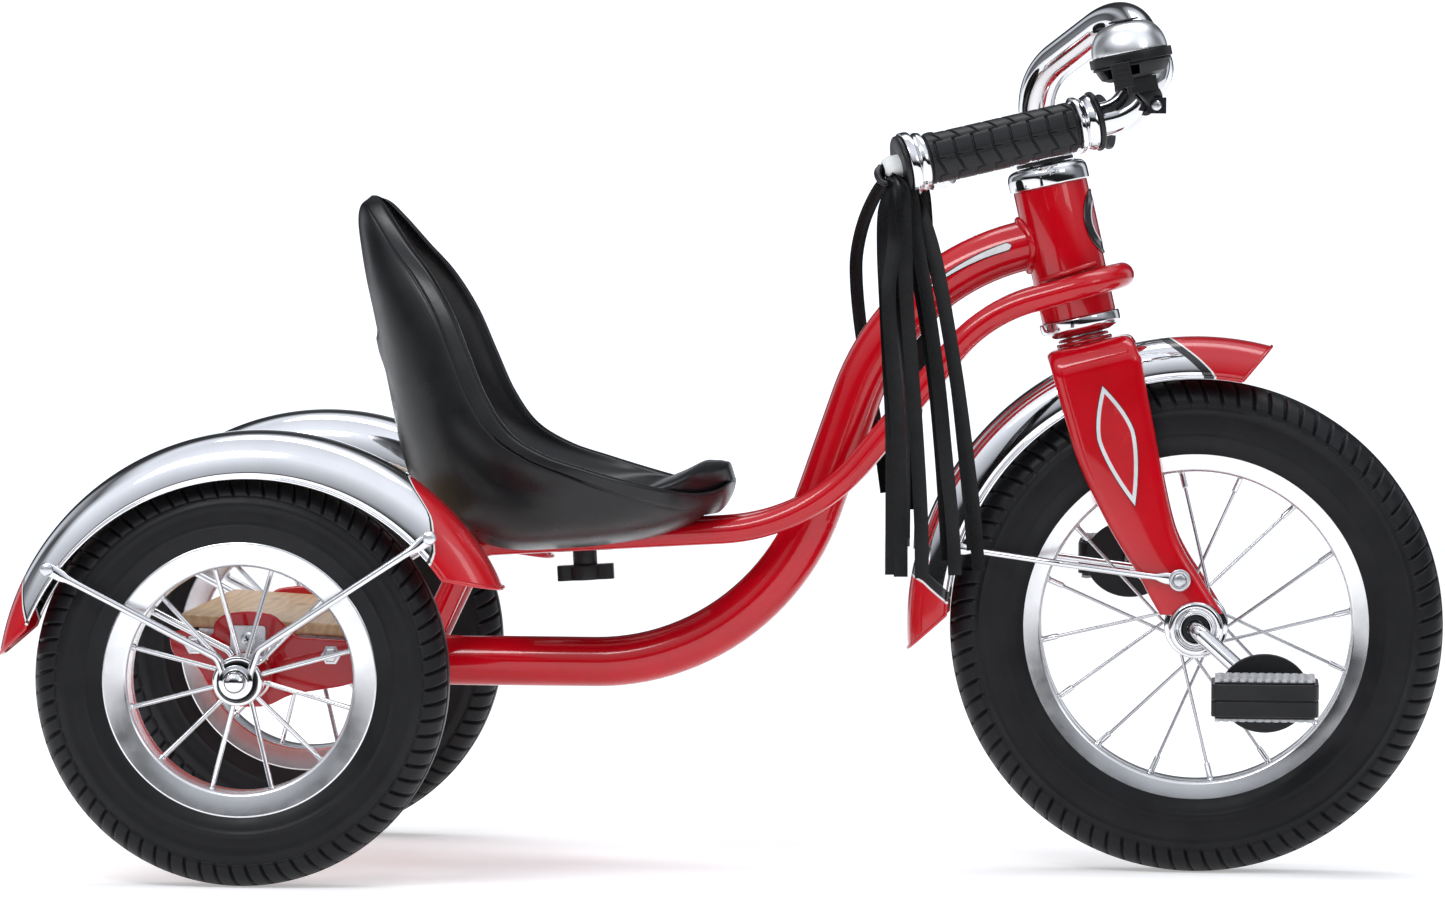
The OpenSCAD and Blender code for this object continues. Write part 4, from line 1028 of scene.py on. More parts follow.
def make_fork():
    left = spline([(567, 166), (560, 178), (553, 191), (544, 205), (534.9, 220), (523.5, 242), (513.5, 264),
                   (506.3, 287), (499.7, 309.5), (498.0, 315)], 60)
    right = spline([(607, 167), (600, 178.5), (592, 191), (583, 205), (576.1, 220), (570.5, 242),
                    (566.2, 264), (561.8, 287), (557.2, 310), (553.5, 330)], 60)
    rows = []
    for (lx, lz), (rx, rz) in zip(left, right):
        rows.append((np.array(((lx + rx) / 2, -37.25, (lz + rz) / 2)), np.array((rx - lx, 0, rz - lz)) / 2,
                     np.array((0, -1.0, 0)), 5.75))
    last = unit(rows[-1][1])
    for k in range(1, 25):
        t = k / 24
        a = t * math.pi / 2
        c = HEAD((5.0 - 2.5 * t, -24.55 - 12.7 * math.cos(a), -33.5 + 12.7 * math.sin(a)))
        u = unit((1 - t) * last + t * HEAD.u)
        n = unit(-math.cos(a) * np.array((0, 1.0, 0)) + math.sin(a) * HEAD.w)
        rows.append((c, u * (28.5 - 1.5 * t), n, 5.75 - 2.0 * t))
    for y in np.linspace(-22, 0, 10):
        t = 1 + y / 24.55
        rows.append((HEAD((2.5 - 1.5 * max(t, 0), y, -20.8)), HEAD.u * 27, HEAD.w, 3.75))
    rings = []
    for c, u, n, ht in rows:
        sec = strap_section(np.linalg.norm(u), ht)
        rings.append(c + sec[:, :1] * unit(u) + sec[:, 1:] * n)
    rings = np.array(rings)
    other = rings[::-1][1:] * (1, -1, 1)
    s = Shape().add(grid(np.concatenate([rings, other]), wrap_v=True, cap=True))
    piece("fork_strap", s, RED, "steering", "fork", angle=50)

    # a plain slim lozenge outline on each blade
    a, b = np.array((529.0, 312.0)), np.array((551.0, 234.0))
    ax, length = unit(b - a), np.linalg.norm(b - a)
    side = np.array((-ax[1], ax[0]))
    ts = np.linspace(0, 1, 61)
    half = 12.5 * (1 - np.abs(2 * ts - 0.84) ** 1.6 / np.where(ts < 0.42, 0.84 ** 1.6, 1.16 ** 1.6))
    rim = [a + ax * length * t + side * w for t, w in zip(ts, half)]
    rim += [a + ax * length * t - side * w for t, w in zip(ts[::-1], half[::-1])]
    pts = np.zeros((61, 31, 3))
    for i, (t, w) in enumerate(zip(ts, half)):
        for k, v in enumerate(np.linspace(-1, 1, 31)):
            q = a + ax * length * t + side * w * v
            pts[i, k] = (q[0], -43.14, q[1])
    d = edge_distance(pts.reshape(-1, 3)[:, [0, 2]], rim)
    s = Shape().add(grid(pts), attr=d).add(grid(pts), True, attr=d)
    piece("fork_lozenge", s, SILVER_LINE, "steering", "fork", (), attr="rim", angle=80)

    s = Shape().add(sweep([HEAD((0, 0, -23.6)), HEAD((0, 0, 103.4))], 12.7, 64))
    piece("steerer_tube", s, STEEL, "steering", "steerer")
    s = Shape().add(lathe([(12.75, -16.9), (18, -16.9), (18.2, -15.6), (17.6, -14.6), (12.75, -14.6)], HEAD,
                          72, 0.5))
    s.add(lathe([(12.75, -14.1), (16.5, -14.1), (16.3, -12.6), (15, -11.9), (12.75, -11.9)], HEAD, 72, 0.5))
    piece("crown_rings", s, RED, "steering", "crown_washers")

    fx, fz = FRONT
    s = Shape()
    cup = [(5.55, 0), (17.6, 0), (17.6, 9.4), (17, 11.4), (15.8, 12.5), (13.4, 12.6), (12.6, 10.6),
           (11.4, 10.2), (10.4, 11.2), (9.2, 11.2), (9.0, 8.0), (5.55, 8.0)]
    s.both(lathe(cup, axis_y(fx, -36, fz), 96, 0.4))
    piece("axle_dust_cups", s, CHROME, "steering", "hub_cups")
    s = Shape().both(lathe([(5.6, 7.9), (8.8, 7.9), (8.8, 9.6), (8.0, 10.3), (5.6, 10.3)], axis_y(fx, -36,
            fz), 64, 0.3))
    piece("axle_seals", s, BLACK, "steering", "hub_cups", ())
    s = Shape()
    q = bends([(433, -32.0, 207.0), (455, -34.2, 204.4), (505, -46.2, 198), (573.4, -46.2, 189.2)],
              [0, 20, 20, 0], 4)
    q = refine(q, 3)
    run = arc_length(q)
    ends = (1 - smooth(run, 9, 16)) + smooth(run, run[-1] - 9, run[-1] - 4)
    s.both(sweep(q, 2.1 + 1.6 * ends, 20, True, 1 - 0.62 * ends, start=(0, 1, 0)))
    piece("fork_stays", s, CHROME, "steering", "front_stays")
    s = Shape()
    eye = axis_y(579.5, -44.0, 188.4)
    s.both(lathe([(4.2, 0), (7, 0), (7, 4.4), (4.2, 4.4)], eye, 48, 0.8))
    s.both(lathe([(0, -0.6), (4.15, -0.6), (4.15, 4.9), (3.4, 5.7), (0, 6.0)], eye, 36, 0.5, closed=False))
    s.both(lathe([(0, 0), (3.7, 0), (3.7, 1.2), (3.0, 2.8), (0, 3.4)], axis_y(431, -30.6, 207.4), 32, 0.5,
                 closed=False))
    piece("fork_bolts", s, ZINC, "steering", "front_bolts")


# ------------------------------------------------------------------ handlebar and grips
# the middle of the handlebar in its clamp, 120 mm up the steering axis
STEM = np.array((513.2 - 120 * math.sin(LEAN), 0, 354 + 120 * math.cos(LEAN)))


def make_bars():
    half = [tuple(GRIP_B), (540, -200.7, 482.6), (563, -184, 512), (543, -126, 551.5), (483, -64, 506),
            (STEM[0], -40, STEM[2])]
    q = bends(half + [(x, -y, z) for x, y, z in half[::-1]], [0, 26, 24, 48, 64, 20, 20, 64, 48, 24, 26, 0],
              2.5)
    s = Shape().add(sweep(q, BAR_R, 72))
    piece("handlebar_tube", s, CHROME, "steering", "handlebar")

    s = Shape().add(lathe([(12.75, 100.2), (18.5, 100.2), (18.5, 102.6), (12.75, 102.6)], HEAD, 72, 0.8))
    piece("stem_rubber", s, BLACK, "steering", "stem_seal")
    s = Shape().add(lathe([(12.75, 102.8), (20, 102.8), (20, 110.4), (18.6, 111.6), (14.6, 111.8),
                           (14.2, 122), (0, 122)], HEAD, 72, 0.7, closed=False))
    bar = Place(STEM, (0, 1, 0), HEAD.u)
    s.add(lathe([(10.55, -22), (13.8, -22), (14.5, -21.2), (14.5, 21.2), (13.8, 22), (10.55, 22)], bar, 96,
                0.5))
    clamp_x = Place(STEM, HEAD.u, (0, 1, 0))
    s.add(box((-15, -7.5, 9), (15, 7.5, 17.5), clamp_x, 3))
    piece("stem_clamp", s, CHROME, "steering", "stem_nut", bevel=0.7)
    s = Shape()
    for y in (-9, 9):
        s.add(lathe([(2.2, 17.4), (4.2, 17.4), (4.2, 20.6), (3.6, 21.2), (2.2, 21.2), (2.2, 19.4),
                     (0, 19.4)], Place(clamp_x((y, 0, 0)), clamp_x.w, clamp_x.u), 28, 0.25, closed=False))
    piece("stem_screws", s, ZINC, "steering", "stem_nut", ())

    # grips: eight rows of moulded blocks, every second row slanted
    nz, na = 300, 176
    z = np.linspace(7.1, 104.9, nz)
    a = np.arange(na) * 2 * math.pi / na + 0.35
    zz, aa = np.meshgrid(z, a, indexing="ij")
    sector = np.floor(aa / (math.pi / 4))
    part = aa / (math.pi / 4) - sector
    arc = part * math.pi / 4 * 15.4
    slant = np.where(np.mod(sector, 2) == 0, 0.06 * arc, -0.42 * arc + 5.1)
    phase = np.mod(zz + slant - 3, 12.1)
    near = np.minimum(phase, 12.1 - phase)
    lean = 0.10 * (phase - 6)
    side = np.minimum(arc + lean * 0.8 + 0.7, math.pi / 4 * 15.4 - arc - lean * 0.8 + 0.7)
    dent = np.maximum(1 - smooth(near, 0.35, 1.0), 1 - smooth(side, 0.35, 1.05))
    r = 15.45 - 1.25 * dent - 0.25 * smooth(np.abs(part - 0.5), 0.3, 0.5)
    ends = smooth(z, 8.4, 9.4) * (1 - smooth(z, 102.6, 103.6))
    r = 14.0 + (r - 14.0) * ends[:, None]
    pts = GRIP(np.stack([r * np.cos(aa), r * np.sin(aa), zz], -1))
    for side_name, mirror in (("right", False), ("left", True)):
        s = Shape().add(grid(pts, wrap_v=True), mirror)
        piece("grip_sleeve_" + side_name, s, GRIPR, "steering", "grip_" + side_name, angle=60)
    rings, flanges, plugs = Shape(), Shape(), Shape()
    for mirror in (False, True):
        rings.add(lathe([(10.55, -5), (17, -5), (17.4, -3), (16.2, -0.4), (15.4, 0.8), (15.8, 2), (17.6, 4),
                         (17.8, 6.8), (10.55, 6.8)], GRIP, 96, 0.7), mirror)
        rings.add(lathe([(10.55, 105.2), (17.6, 105.2), (18.2, 108), (17.2, 110), (17.6, 111),
                         (19.6, 112.2), (20, 114.2), (19.8, 117.6), (10.55, 117.6)], GRIP, 96, 0.7), mirror)
        flanges.add(lathe([(7.9, 118.1), (18.6, 118.1), (18.6, 120.2), (17.4, 121.1), (7.9, 121.1)], GRIP,
                          96, 0.6), mirror)
        flanges.add(lathe([(10.55, -8.2), (17.6, -8.2), (18.6, -7.2), (18.6, -5.2), (10.55, -5.2)], GRIP,
                          96, 0.6), mirror)
        plugs.add(lathe([(0, 118), (7.6, 118), (7.6, 126), (6.8, 129.5), (4.9, 131.4), (4.0, 131.2),
                         (3.6, 128.5), (0, 128.5)], GRIP, 56, 0.6, closed=False), mirror)
    piece("grip_end_rings", rings, CHROME, "steering", "grip_rings")
    piece("grip_end_flanges", flanges, BLACK, "steering", "grip_flanges")
    piece("streamer_plugs", plugs, WHITE, "steering", "grip_plugs")


# ------------------------------------------------------------------ bell
def make_bell():
    prof = [(23.6 * math.cos(a) ** 0.62, 1 + 19.4 * math.sin(a)) for a in np.linspace(0, math.pi / 2 - 0.02,
            30)]
    prof = [(22.4, 1.0), (22.6, 0.8), (23.4, 0.8)] + prof
    s = Shape().add(lathe(prof + [(0.4, 20.4)], BELL, 128, 0, closed=False))
    piece("bell_shell", s, BRUSHED, "steering", "bell_dome", angle=50)
    s = Shape().add(lathe([(0, 20.46), (9.4, 20.46), (9.4, 21.2), (8.6, 21.7), (7.4, 21.5), (6.8, 21.3),
                           (0, 21.3)], BELL, 72, 0.3, closed=False))
    piece("bell_button", s, BLACK, "steering", "bell_cap")
    s = Shape().add(lathe([(0, -15), (15.6, -15), (20.2, -13.1), (20.2, -12.8), (0, -12.8)], BELL, 96, 0.5,
                          closed=False))
    s.add(lathe([(0, -2.8), (24.3, -2.8), (24.3, -5.4), (25.6, -5), (25.6, 0.6), (24.1, 0.6), (24.1, -2.2),
                 (0, -2.2)], BELL, 96, 0.3, closed=False))
    s.add(lathe([(23.6, -7.3), (24.4, -7.0), (24.4, -5.6), (23.4, -5.4)], BELL, 96, 0.3))
    wall = np.array([(20.4, -12.9), (22.4, -9), (23.4, -6), (23.8, -2.7), (20.6, -2.7), (18.4, -12.9)])
    turns = np.radians(np.linspace(-79, 219, 90))
    rows = [[(r * math.cos(k), r * math.sin(k), z) for r, z in wall] for k in turns]
    s.add(grid(BELL(rows), wrap_v=True, cap=True))
    piece("bell_cup_body", s, BLACK, "steering", "bell_base")
    s = Shape().add(lathe([(0, -14), (2, -14), (2, -4.4), (0, -4.4)], Place(BELL((-6, -8.5, 0)), BELL.w,
            BELL.u), 24, 0.3, closed=False))
    piece("bell_lever_pin", s, ZINC, "steering", "bell_base", ())

    boss = Place(BELL((-6, -8.5, 0)), BELL.w, BELL.u)
    s = Shape().add(lathe([(2.05, -11.6), (6, -11.6), (6, -4), (2.05, -4)], boss, 48, 0.6))
    s.add(box((-11.5, -28, -11.4), (-3.5, -12, -4.2), BELL, 1.5))
    pad = Place(BELL((-7, -30.5, -12.2)), BELL.w, BELL.u)
    s.add(slab([(-6, -3), (-4.5, -3.4), (4.5, -3.4), (6, -3), (6, 2.6), (-6, 2.6)], -7.8, 7.8, pad, 2.2))
    for k in range(4):
        s.add(box((-5, -3.9, -5.6 + 3.2 * k), (5, -3.2, -4.4 + 3.2 * k), pad))
    piece("bell_trigger_lever", s, BLACK, "bell_trigger", "bell_lever", bevel=0.6)

    a, b = np.array((555.6, -191, 501.5)), np.array((548, -196.4, 491.8))
    band = Place(a, b - a)
    length = np.linalg.norm(b - a)
    s = Shape().add(lathe([(10.58, 0.4), (13.6, 0.2), (14, 0.9), (14, length - 0.9), (13.6, length - 0.2),
                           (10.58, length - 0.4)], band, 72, 0.5))
    s.add(slab([(-6, -9), (13, -9), (13, 20), (9, 23), (-2, 23), (-6, 20)], -24.2, -15.3, BELL, 3))
    s.add(box((557, -204, 484), (569, -190, 494)))
    piece("bell_bar_clamp", s, BLACK, "steering", "bell_clamp", bevel=1.1)
    s = Shape()
    screw = axis_y(563, -203.6, 489)
    s.add(lathe([(0, 0), (3.2, 0), (3.2, 1.2), (2.2, 2.2), (0, 2.4)], screw, 28, 0.3, closed=False))
    piece("bell_clamp_screw", s, ZINC, "steering", "bell_clamp", ())


# ------------------------------------------------------------------ seat
# Rows of the seat from the top of the back to the front edge: x and z of the outside on the centre line,
# x and z of the rim, half the width, and the inside's share of the way from the outside to the rim.
SEAT_ROWS = [
    (58.6, 427.7, 61.2, 427.8, 1.5, 0.6),
    (57, 426, 63, 426.5, 14, 0.5),
    (52.4, 421, 67, 422.5, 34, 0.42),
    (51.6, 411, 76, 411.5, 55, 0.3),
    (54.2, 394, 88, 396, 74, 0.22),
    (58, 374, 103, 378, 89, 0.18),
    (63.4, 351, 117.5, 354, 100, 0.16),
    (69, 325, 129.5, 326, 107, 0.15),
    (74.5, 299, 141, 300, 112, 0.16),
    (80, 272, 156, 279, 116, 0.2),
    (89, 244, 178, 265.5, 119, 0.27),
    (108, 219, 203, 257, 120, 0.38),
    (146, 203, 222, 251, 118, 0.5),
    (190, 203.5, 238, 246.5, 112, 0.86),
    (222, 207, 252, 243, 103, 1.26),
    (245, 211, 262, 240.5, 91, 1.62),
    (262, 216, 271, 239, 76, 1.9),
    (275, 221.5, 280.5, 239.5, 59, 2.1),
    (285.5, 228, 288, 242, 43, 2.1),
    (291, 236, 292.5, 246, 27, 1.4),
    (293.4, 241.5, 294, 246, 8, 1),
]


def make_seat():
    def power(v, e):
        return np.sign(v) * np.abs(v) ** e

    rows = spline(SEAT_ROWS, 190)
    nk, nl = 90, 14
    rings = []
    for ox, oz, rx, rz, w, c in rows:
        w = max(w, 1.0)
        d = np.array((rx - ox, rz - oz))
        reach = np.linalg.norm(d)
        lip = min(13.0, w * 0.3)
        grow = float(smooth(w, 8, 40))
        # even steps along the outside: the power laws crowd points at the rim
        dense = np.linspace(0, 1, 900)
        ad = math.pi + dense * math.pi
        po = np.stack([w * power(np.cos(ad), 0.62), reach * (1 - np.abs(np.sin(ad)) ** 0.9)], 1)
        run = arc_length(po)
        e = min(14.0, run[-1] * 0.2)
        s = np.sort(np.concatenate([np.linspace(0, e, 22), np.linspace(run[-1] - e, run[-1], 22),
                np.linspace(e * 1.1, run[-1] - e * 1.1, nk - 44)]))
        outer = np.stack([np.interp(s, run, po[:, 0]), np.interp(s, run, po[:, 1])], 1)
        tan = np.gradient(outer, axis=0)
        tan /= np.linalg.norm(tan, axis=1)[:, None] + 1e-9
        nrm = np.stack([tan[:, 1], -tan[:, 0]], 1)
        side = np.minimum(s, run[-1] - s)
        lift = (1.7 * (1 - smooth(side, 7.8, 8.7)) - 0.6 * np.exp(-((side - 9.4) / 0.8) ** 2)) * grow
        outer = outer + nrm * lift[:, None]
        ai = 2 * math.pi - dense * math.pi
        v_in = 1 - (1 - c) * np.abs(np.sin(ai)) ** (1.2 - 0.55 * float(smooth(c, 0.8, 1.4)))
        pi = np.stack([(w - lip) * power(np.cos(ai), 0.8), reach * v_in], 1)
        run = arc_length(pi)
        si = np.linspace(0, run[-1], nk)
        inner = np.stack([np.interp(si, run, pi[:, 0]), np.interp(si, run, pi[:, 1])], 1)
        t = np.linspace(0, math.pi, nl + 2)[1:-1]
        m, h = (outer[-1] + inner[0]) / 2, (outer[-1] - inner[0]) / 2
        crown = 2.6 * grow + 0.2
        rim_l = np.stack([m[0] + h[0] * np.cos(t), m[1] + h[1] * np.cos(t) + crown * np.sin(t)], 1)
        m, h = (inner[-1] + outer[0]) / 2, (inner[-1] - outer[0]) / 2
        rim_r = np.stack([m[0] + h[0] * np.cos(t), m[1] + h[1] * np.cos(t) + crown * np.sin(t)], 1)
        loop = np.concatenate([outer, rim_l, inner, rim_r])
        dirn = d / reach
        pts = np.stack([ox + dirn[0] * loop[:, 1], loop[:, 0], oz + dirn[1] * loop[:, 1]], 1)
        pull = 1.8 * float(smooth(oz, 314, 330) * (1 - smooth(oz, 338.6, 340)))
        on_back = np.zeros(len(loop))
        on_back[:nk] = 1
        pts[:, 0] -= pull * on_back * (1 - smooth(np.abs(loop[:, 0]), 40, 52))
        rings.append(pts)
    s = Shape().add(grid(np.array(rings), wrap_v=True, cap=True))
    ob = piece("seat_bucket", s, SEAT, "seat", "seat_shell", angle=60)
    carve(ob, Shape().add(box((-60, -47, -60), (200, 47, 11.5), RAILS)))

    s = Shape().add(box((22, -44, 8.4), (98, 44, 11.4), RAILS, 4))
    s.add(box((30, -22, -6), (88, 22, 8.6), RAILS, 5))
    piece("seat_slide_bracket", s, ZINC, "seat", "seat_bracket", bevel=0.8)
    knob = Place(RAILS((59, 0, 0)), RAILS.w, RAILS.u)
    s = Shape().add(lathe([(0, -18.6), (7.7, -18.6), (7.7, -10), (6.4, -6.3), (4, -6.3), (4, 6), (0, 6)],
                          knob, 48, 0.6, closed=False))
    s.add(slab([(-18, -5.6), (-15, -7), (-8, -6), (8, -6), (15, -7), (18, -5.6), (18, 5.6), (15, 7), (8, 6),
                (-8, 6), (-15, 7), (-18, 5.6)], -28, -18.3, knob, 2.5))
    s.add(lathe([(0, -28), (10.4, -28), (11, -27.4), (11, -19), (10.4, -18.3), (0, -18.3)], knob, 48, 0.4,
                closed=False))
    piece("seat_wing_knob", s, BLACK, "seat_screw", "seat_knob", bevel=1.0)


# ------------------------------------------------------------------ streamers
# Each ribbon: its line from just under the plug down to its end, and its turn in degrees at both ends.
RIBBONS_RIGHT = [
    ([(401, -251, 437), (397.4, -252, 422), (397.4, -253, 399), (399.2, -252, 368), (401.4, -251, 330),
      (403.6, -250, 292), (404.2, -249, 246), (404.4, -248, 200)], -25, 10),
    ([(404.3, -256, 437), (404.6, -258, 410), (402.9, -257, 391), (401, -256, 375), (401.8, -255, 353),
      (404.4, -254, 322), (407, -253, 292), (409, -252, 246), (409.8, -252, 199)], 22, -14),
    ([(408.6, -254, 437), (410.3, -254, 414), (412, -252, 368), (415.7, -250, 323), (419.2, -249, 277),
      (421.9, -248, 231), (422.6, -247, 198)], -12, 5),
    ([(413.2, -251, 434), (417.3, -251, 407), (424.5, -249, 368), (431, -247, 323), (436, -246, 277),
      (441, -245, 231), (442.8, -245, 200)], 14, -8),
    ([(414.7, -249, 433), (424.1, -248, 411), (430.5, -246, 387), (436.9, -244, 353),
      (443.4, -243, 315), (449.9, -242, 269), (454.8, -241, 231), (457.1, -241, 203)], -18, 22),
    ([(410.9, -247, 436), (415, -246, 399), (421.8, -244, 365), (428.3, -242, 323), (433, -241, 277),
      (436.8, -240, 231), (438.2, -240, 209)], 34, 16),
    ([(416.3, -245, 430), (425.7, -243, 402), (434.5, -240, 365), (441.8, -238, 323),
      (447.5, -237, 277), (451.7, -236, 238), (453.7, -236, 215)], 5, -26),
    ([(405, -247, 438), (402, -246, 416), (404, -245, 380), (409, -243, 340), (412, -242, 300),
      (413, -241, 260), (412.5, -241, 222)], 52, 62),
]
RIBBONS_LEFT = [
    ([(385, 247, 441), (375.6, 249, 434), (365.8, 251, 414), (360.5, 252, 392), (360, 252, 372),
      (363, 251, 342), (368.5, 250, 308), (374.5, 249, 275), (381.3, 248, 230)], 12, 24),
    ([(398, 254, 437), (392, 256, 415), (388, 256, 380), (386, 254, 330), (387, 252, 280),
      (389, 251, 236)], -30, 48),
    ([(400, 252, 437), (397, 254, 414), (393, 254, 370), (391, 252, 310), (391, 250, 250),
      (392, 249, 196)], 15, 74),
    ([(402, 250, 437), (401, 251, 410), (398, 251, 370), (396, 249, 310), (395.5, 248, 250),
      (396, 247, 194)], -20, 66),
    ([(404, 248, 436), (405, 249, 408), (403, 248, 366), (400, 246, 310), (399, 245, 260),
      (399.5, 244, 219)], 28, -60),
    ([(404, 245, 436), (407, 245, 404), (406, 244, 360), (403, 242, 310), (402, 241, 250),
      (401.5, 240, 193)], -8, 70),
    ([(400, 243, 438), (399, 242, 410), (396, 240, 360), (394, 239, 300), (393.5, 238, 250),
      (394, 238, 205)], 40, 58),
]


def ribbon(name, points, turn, hides):
    side = 1 if points[0][1] > 0 else -1
    start = [(396.8, side * 244.4, 447.8), (399.5, side * 248.0, 445.5)]
    q = spline(start + list(points), 84)
    t = np.gradient(q, axis=0)
    t /= np.linalg.norm(t, axis=1)[:, None]
    run = arc_length(q)
    length = run[-1]
    rows = []
    for i in range(len(q)):
        s = run[i] / length
        across = unit(np.cross(t[i], (0.0, 1.0, 0.0)))
        face = np.cross(across, t[i])
        swing = 10 * math.sin(7 * s + points[0][0])
        a = math.radians(turn[0] + (turn[1] - turn[0]) * float(smooth(s, 0.1, 0.95)) + swing)
        u = math.cos(a) * across + math.sin(a) * face
        n = np.cross(u, t[i])
        wide = 4.4 * (0.5 + 0.5 * float(smooth(run[i], 2, 26)))
        row = []
        for v in np.linspace(-1, 1, 9):
            row.append(q[i] + u * v * wide + n * 1.1 * (1 - v * v) * (1 - 0.5 * s))
        rows.append(row)
    s = Shape().add(grid(np.array(rows)))
    ob = piece(name, s, SATIN, "steering", "tassel_right", hides, angle=80)
    return ob


def make_ribbons():
    for side, rows in (("right", RIBBONS_RIGHT), ("left", RIBBONS_LEFT)):
        for i, (pts, a, b) in enumerate(rows):
            ribbon("ribbon_%s_%d" % (side, i + 1), pts, (a, b), ["tassel_" + side] if i == 0 else [])
        # the gathered top of the bundle, held by a turn of ribbon in the plug's mouth
        sg = -1 if side == "right" else 1
        s = Shape()
        turn = [(396.4, 241.5, 449.2), (394.2, 246.5, 445.6), (396.2, 250.4, 441.2), (400.6, 250.8, 440.2),
                (403.2, 247.4, 441.6), (401.6, 243.4, 443.6)]
        q = spline([(x, sg * y, z) for x, y, z in turn], 40)
        s.add(sweep(q, 3.6, 20, True, 0.45, start=(0, 1, 0)))
        piece("streamer_knot_" + side, s, SATIN, "steering", "tassel_right", (), angle=60)


# ------------------------------------------------------------------ studio and camera
def look(position, yaw, pitch, roll):
    """A camera-style rotation: yaw to the left and pitch downward from +Y, then roll, all in degrees."""
    a, b, c = (math.radians(x) for x in (yaw, pitch, roll))
    fw = Vector((-math.sin(a) * math.cos(b), math.cos(a) * math.cos(b), -math.sin(b)))
    rt = Vector((math.cos(a), math.sin(a), 0))
    up = rt.cross(fw)
    rt, up = math.cos(c) * rt + math.sin(c) * up, -math.sin(c) * rt + math.cos(c) * up
    m = Matrix((rt, up, -fw)).transposed().to_4x4()
    m.translation = position
    return m


def lamp(name, place, target, size, power):
    li = bpy.data.lights.new(name, "AREA")
    li.shape = "RECTANGLE"
    li.size, li.size_y = size
    li.energy = power
    ob = bpy.data.objects.new(name, li)
    SCENE.collection.objects.link(ob)
    ob.location = place
    ob.rotation_euler = (Vector(target) - Vector(place)).to_track_quat("-Z", "Y").to_euler()
    return ob


def gray_ramp(tree, fac, stops):
    """Grays of a slightly cool tint over a 0 to 1 value."""
    ramp = tree.nodes.new("ShaderNodeValToRGB")
    tree.links.new(fac, ramp.inputs["Fac"])
    e = ramp.color_ramp.elements
    while len(e) < len(stops):
        e.new(0.5)
    for el, (pos, v) in zip(e, stops):
        el.position = pos
        el.color = (v * 0.94, v * 0.98, v * 1.06, 1)
    return ramp.outputs["Color"]


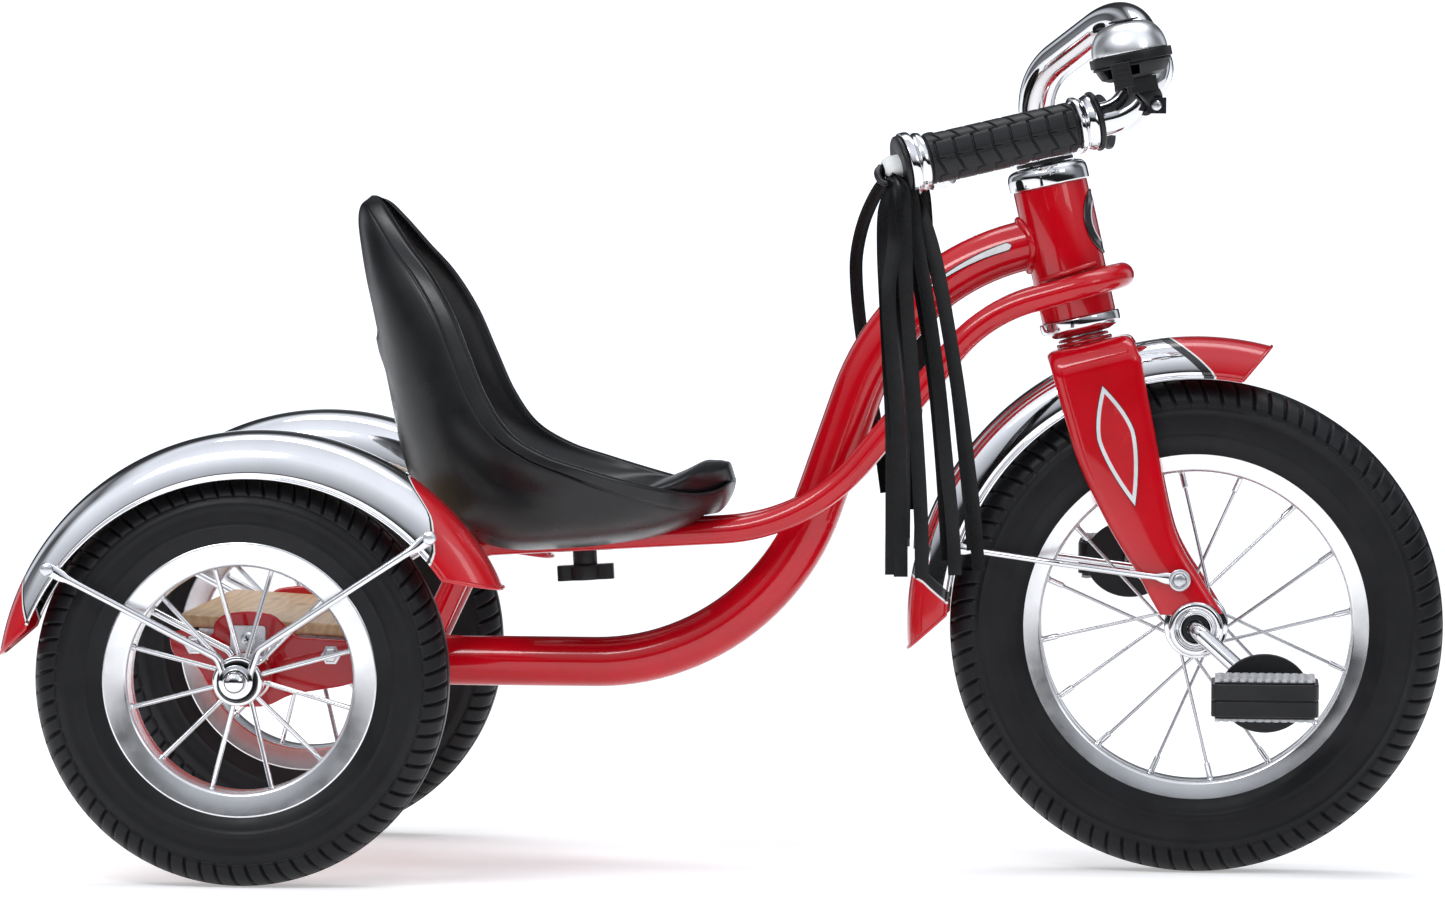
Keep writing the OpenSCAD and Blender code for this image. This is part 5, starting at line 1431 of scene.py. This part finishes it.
def make_studio():
    s = Shape().add(slab([(4500 * math.cos(a), 4500 * math.sin(a)) for a in np.linspace(0, 2 * math.pi, 96,
            endpoint=False)], -20.2, -0.2, WORLD))
    me = bpy.data.meshes.new("floor")
    me.from_pydata((np.array(s.v) * MM).tolist(), [], s.f)
    floor = bpy.data.objects.new("floor", me)
    SCENE.collection.objects.link(floor)
    n = Nodes("floor_sweep")
    n.bump(n.noise(160, 3), 0.03, 0.2)
    me.materials.append(n.set(Base_Color=n.clouds(3, 3, (0.90, 0.90, 0.90), (0.92, 0.92, 0.92)),
                              Roughness=n.spread(n.noise(9, 3), 0.9, 1.0), Specular_IOR_Level=0.0,
                              Emission_Color=(1.0, 1.0, 1.0), Emission_Strength=0.38))

    # a white wall behind, a dark room in front with a soft overhead bank
    world = bpy.data.worlds.new("studio")
    SCENE.world = world
    world.use_nodes = True
    t = world.node_tree
    bg = t.nodes["Background"]
    coord = t.nodes.new("ShaderNodeTexCoord")
    split = t.nodes.new("ShaderNodeSeparateXYZ")
    t.links.new(coord.outputs["Generated"], split.inputs[0])

    def spread(sock, lo, hi):
        r = t.nodes.new("ShaderNodeMapRange")
        r.inputs["From Min"].default_value, r.inputs["From Max"].default_value = lo, hi
        t.links.new(sock, r.inputs["Value"])
        return r.outputs["Result"]

    up = spread(split.outputs["Z"], -1.0, 1.0)
    back = gray_ramp(t, up, ((0.0, 0.8), (0.49, 1.7), (0.53, 1.7), (0.555, 0.25), (0.72, 0.05), (0.84, 0.1),
                             (0.92, 1.3), (1.0, 1.1)))
    front = gray_ramp(t, up, ((0.0, 0.02), (0.5, 0.02), (0.565, 0.03), (0.60, 0.55), (0.70, 0.95),
                              (0.80, 1.4), (0.9, 1.4), (1.0, 1.2)))
    aside = t.nodes.new("ShaderNodeMath")
    aside.operation = "ABSOLUTE"
    t.links.new(split.outputs["X"], aside.inputs[0])
    flank = gray_ramp(t, aside.outputs[0], ((0.0, 0.04), (0.5, 0.04), (0.60, 0.9), (0.74, 1.1),
            (0.84, 0.12), (1.0, 0.35)))
    low = t.nodes.new("ShaderNodeMath")
    low.operation = "MULTIPLY"
    t.links.new(spread(aside.outputs[0], 0.15, 0.22), low.inputs[0])
    t.links.new(spread(split.outputs["Z"], 0.7, 0.35), low.inputs[1])

    def blend(fac, a, b):
        m = t.nodes.new("ShaderNodeMix")
        m.data_type = "RGBA"
        for sock, link in zip((0, 6, 7), (fac, a, b)):
            t.links.new(link, m.inputs[sock])
        return m.outputs[2]

    behind = blend(low.outputs[0], back, flank)
    t.links.new(blend(spread(split.outputs["Y"], -0.30, 0.05), front, behind), bg.inputs["Color"])
    bg.inputs["Strength"].default_value = 0.74

    lamp("key_softbox", (-1.3, -2.6, 2.9), (0.0, 0, 0.25), (2.0, 0.7), 42)
    lamp("fill_softbox", (2.6, -2.6, 1.9), (0.1, 0, 0.3), (1.0, 1.0), 8)
    lamp("top_softbox", (0.2, 0.5, 3.0), (0.0, 0, 0.2), (2.6, 0.9), 26)


def make_camera():
    cam = bpy.data.cameras.new("camera")
    cam.sensor_width = 36.0
    cam.lens = 221.4
    cam.clip_end = 200
    ob = bpy.data.objects.new("camera", cam)
    SCENE.collection.objects.link(ob)
    ob.matrix_world = look((0.30875, -5.6871, 0.4747), 3.235, 2.091, 0.480)
    SCENE.camera = ob


make_frame()
tube_stripe()
make_mudguards()
make_stays()
make_fork()
make_bars()
make_bell()
make_ribbons()
make_front_wheel()
make_rear_wheels()
make_seat()
make_studio()
make_camera()
SCENE.view_settings.view_transform = "Standard"
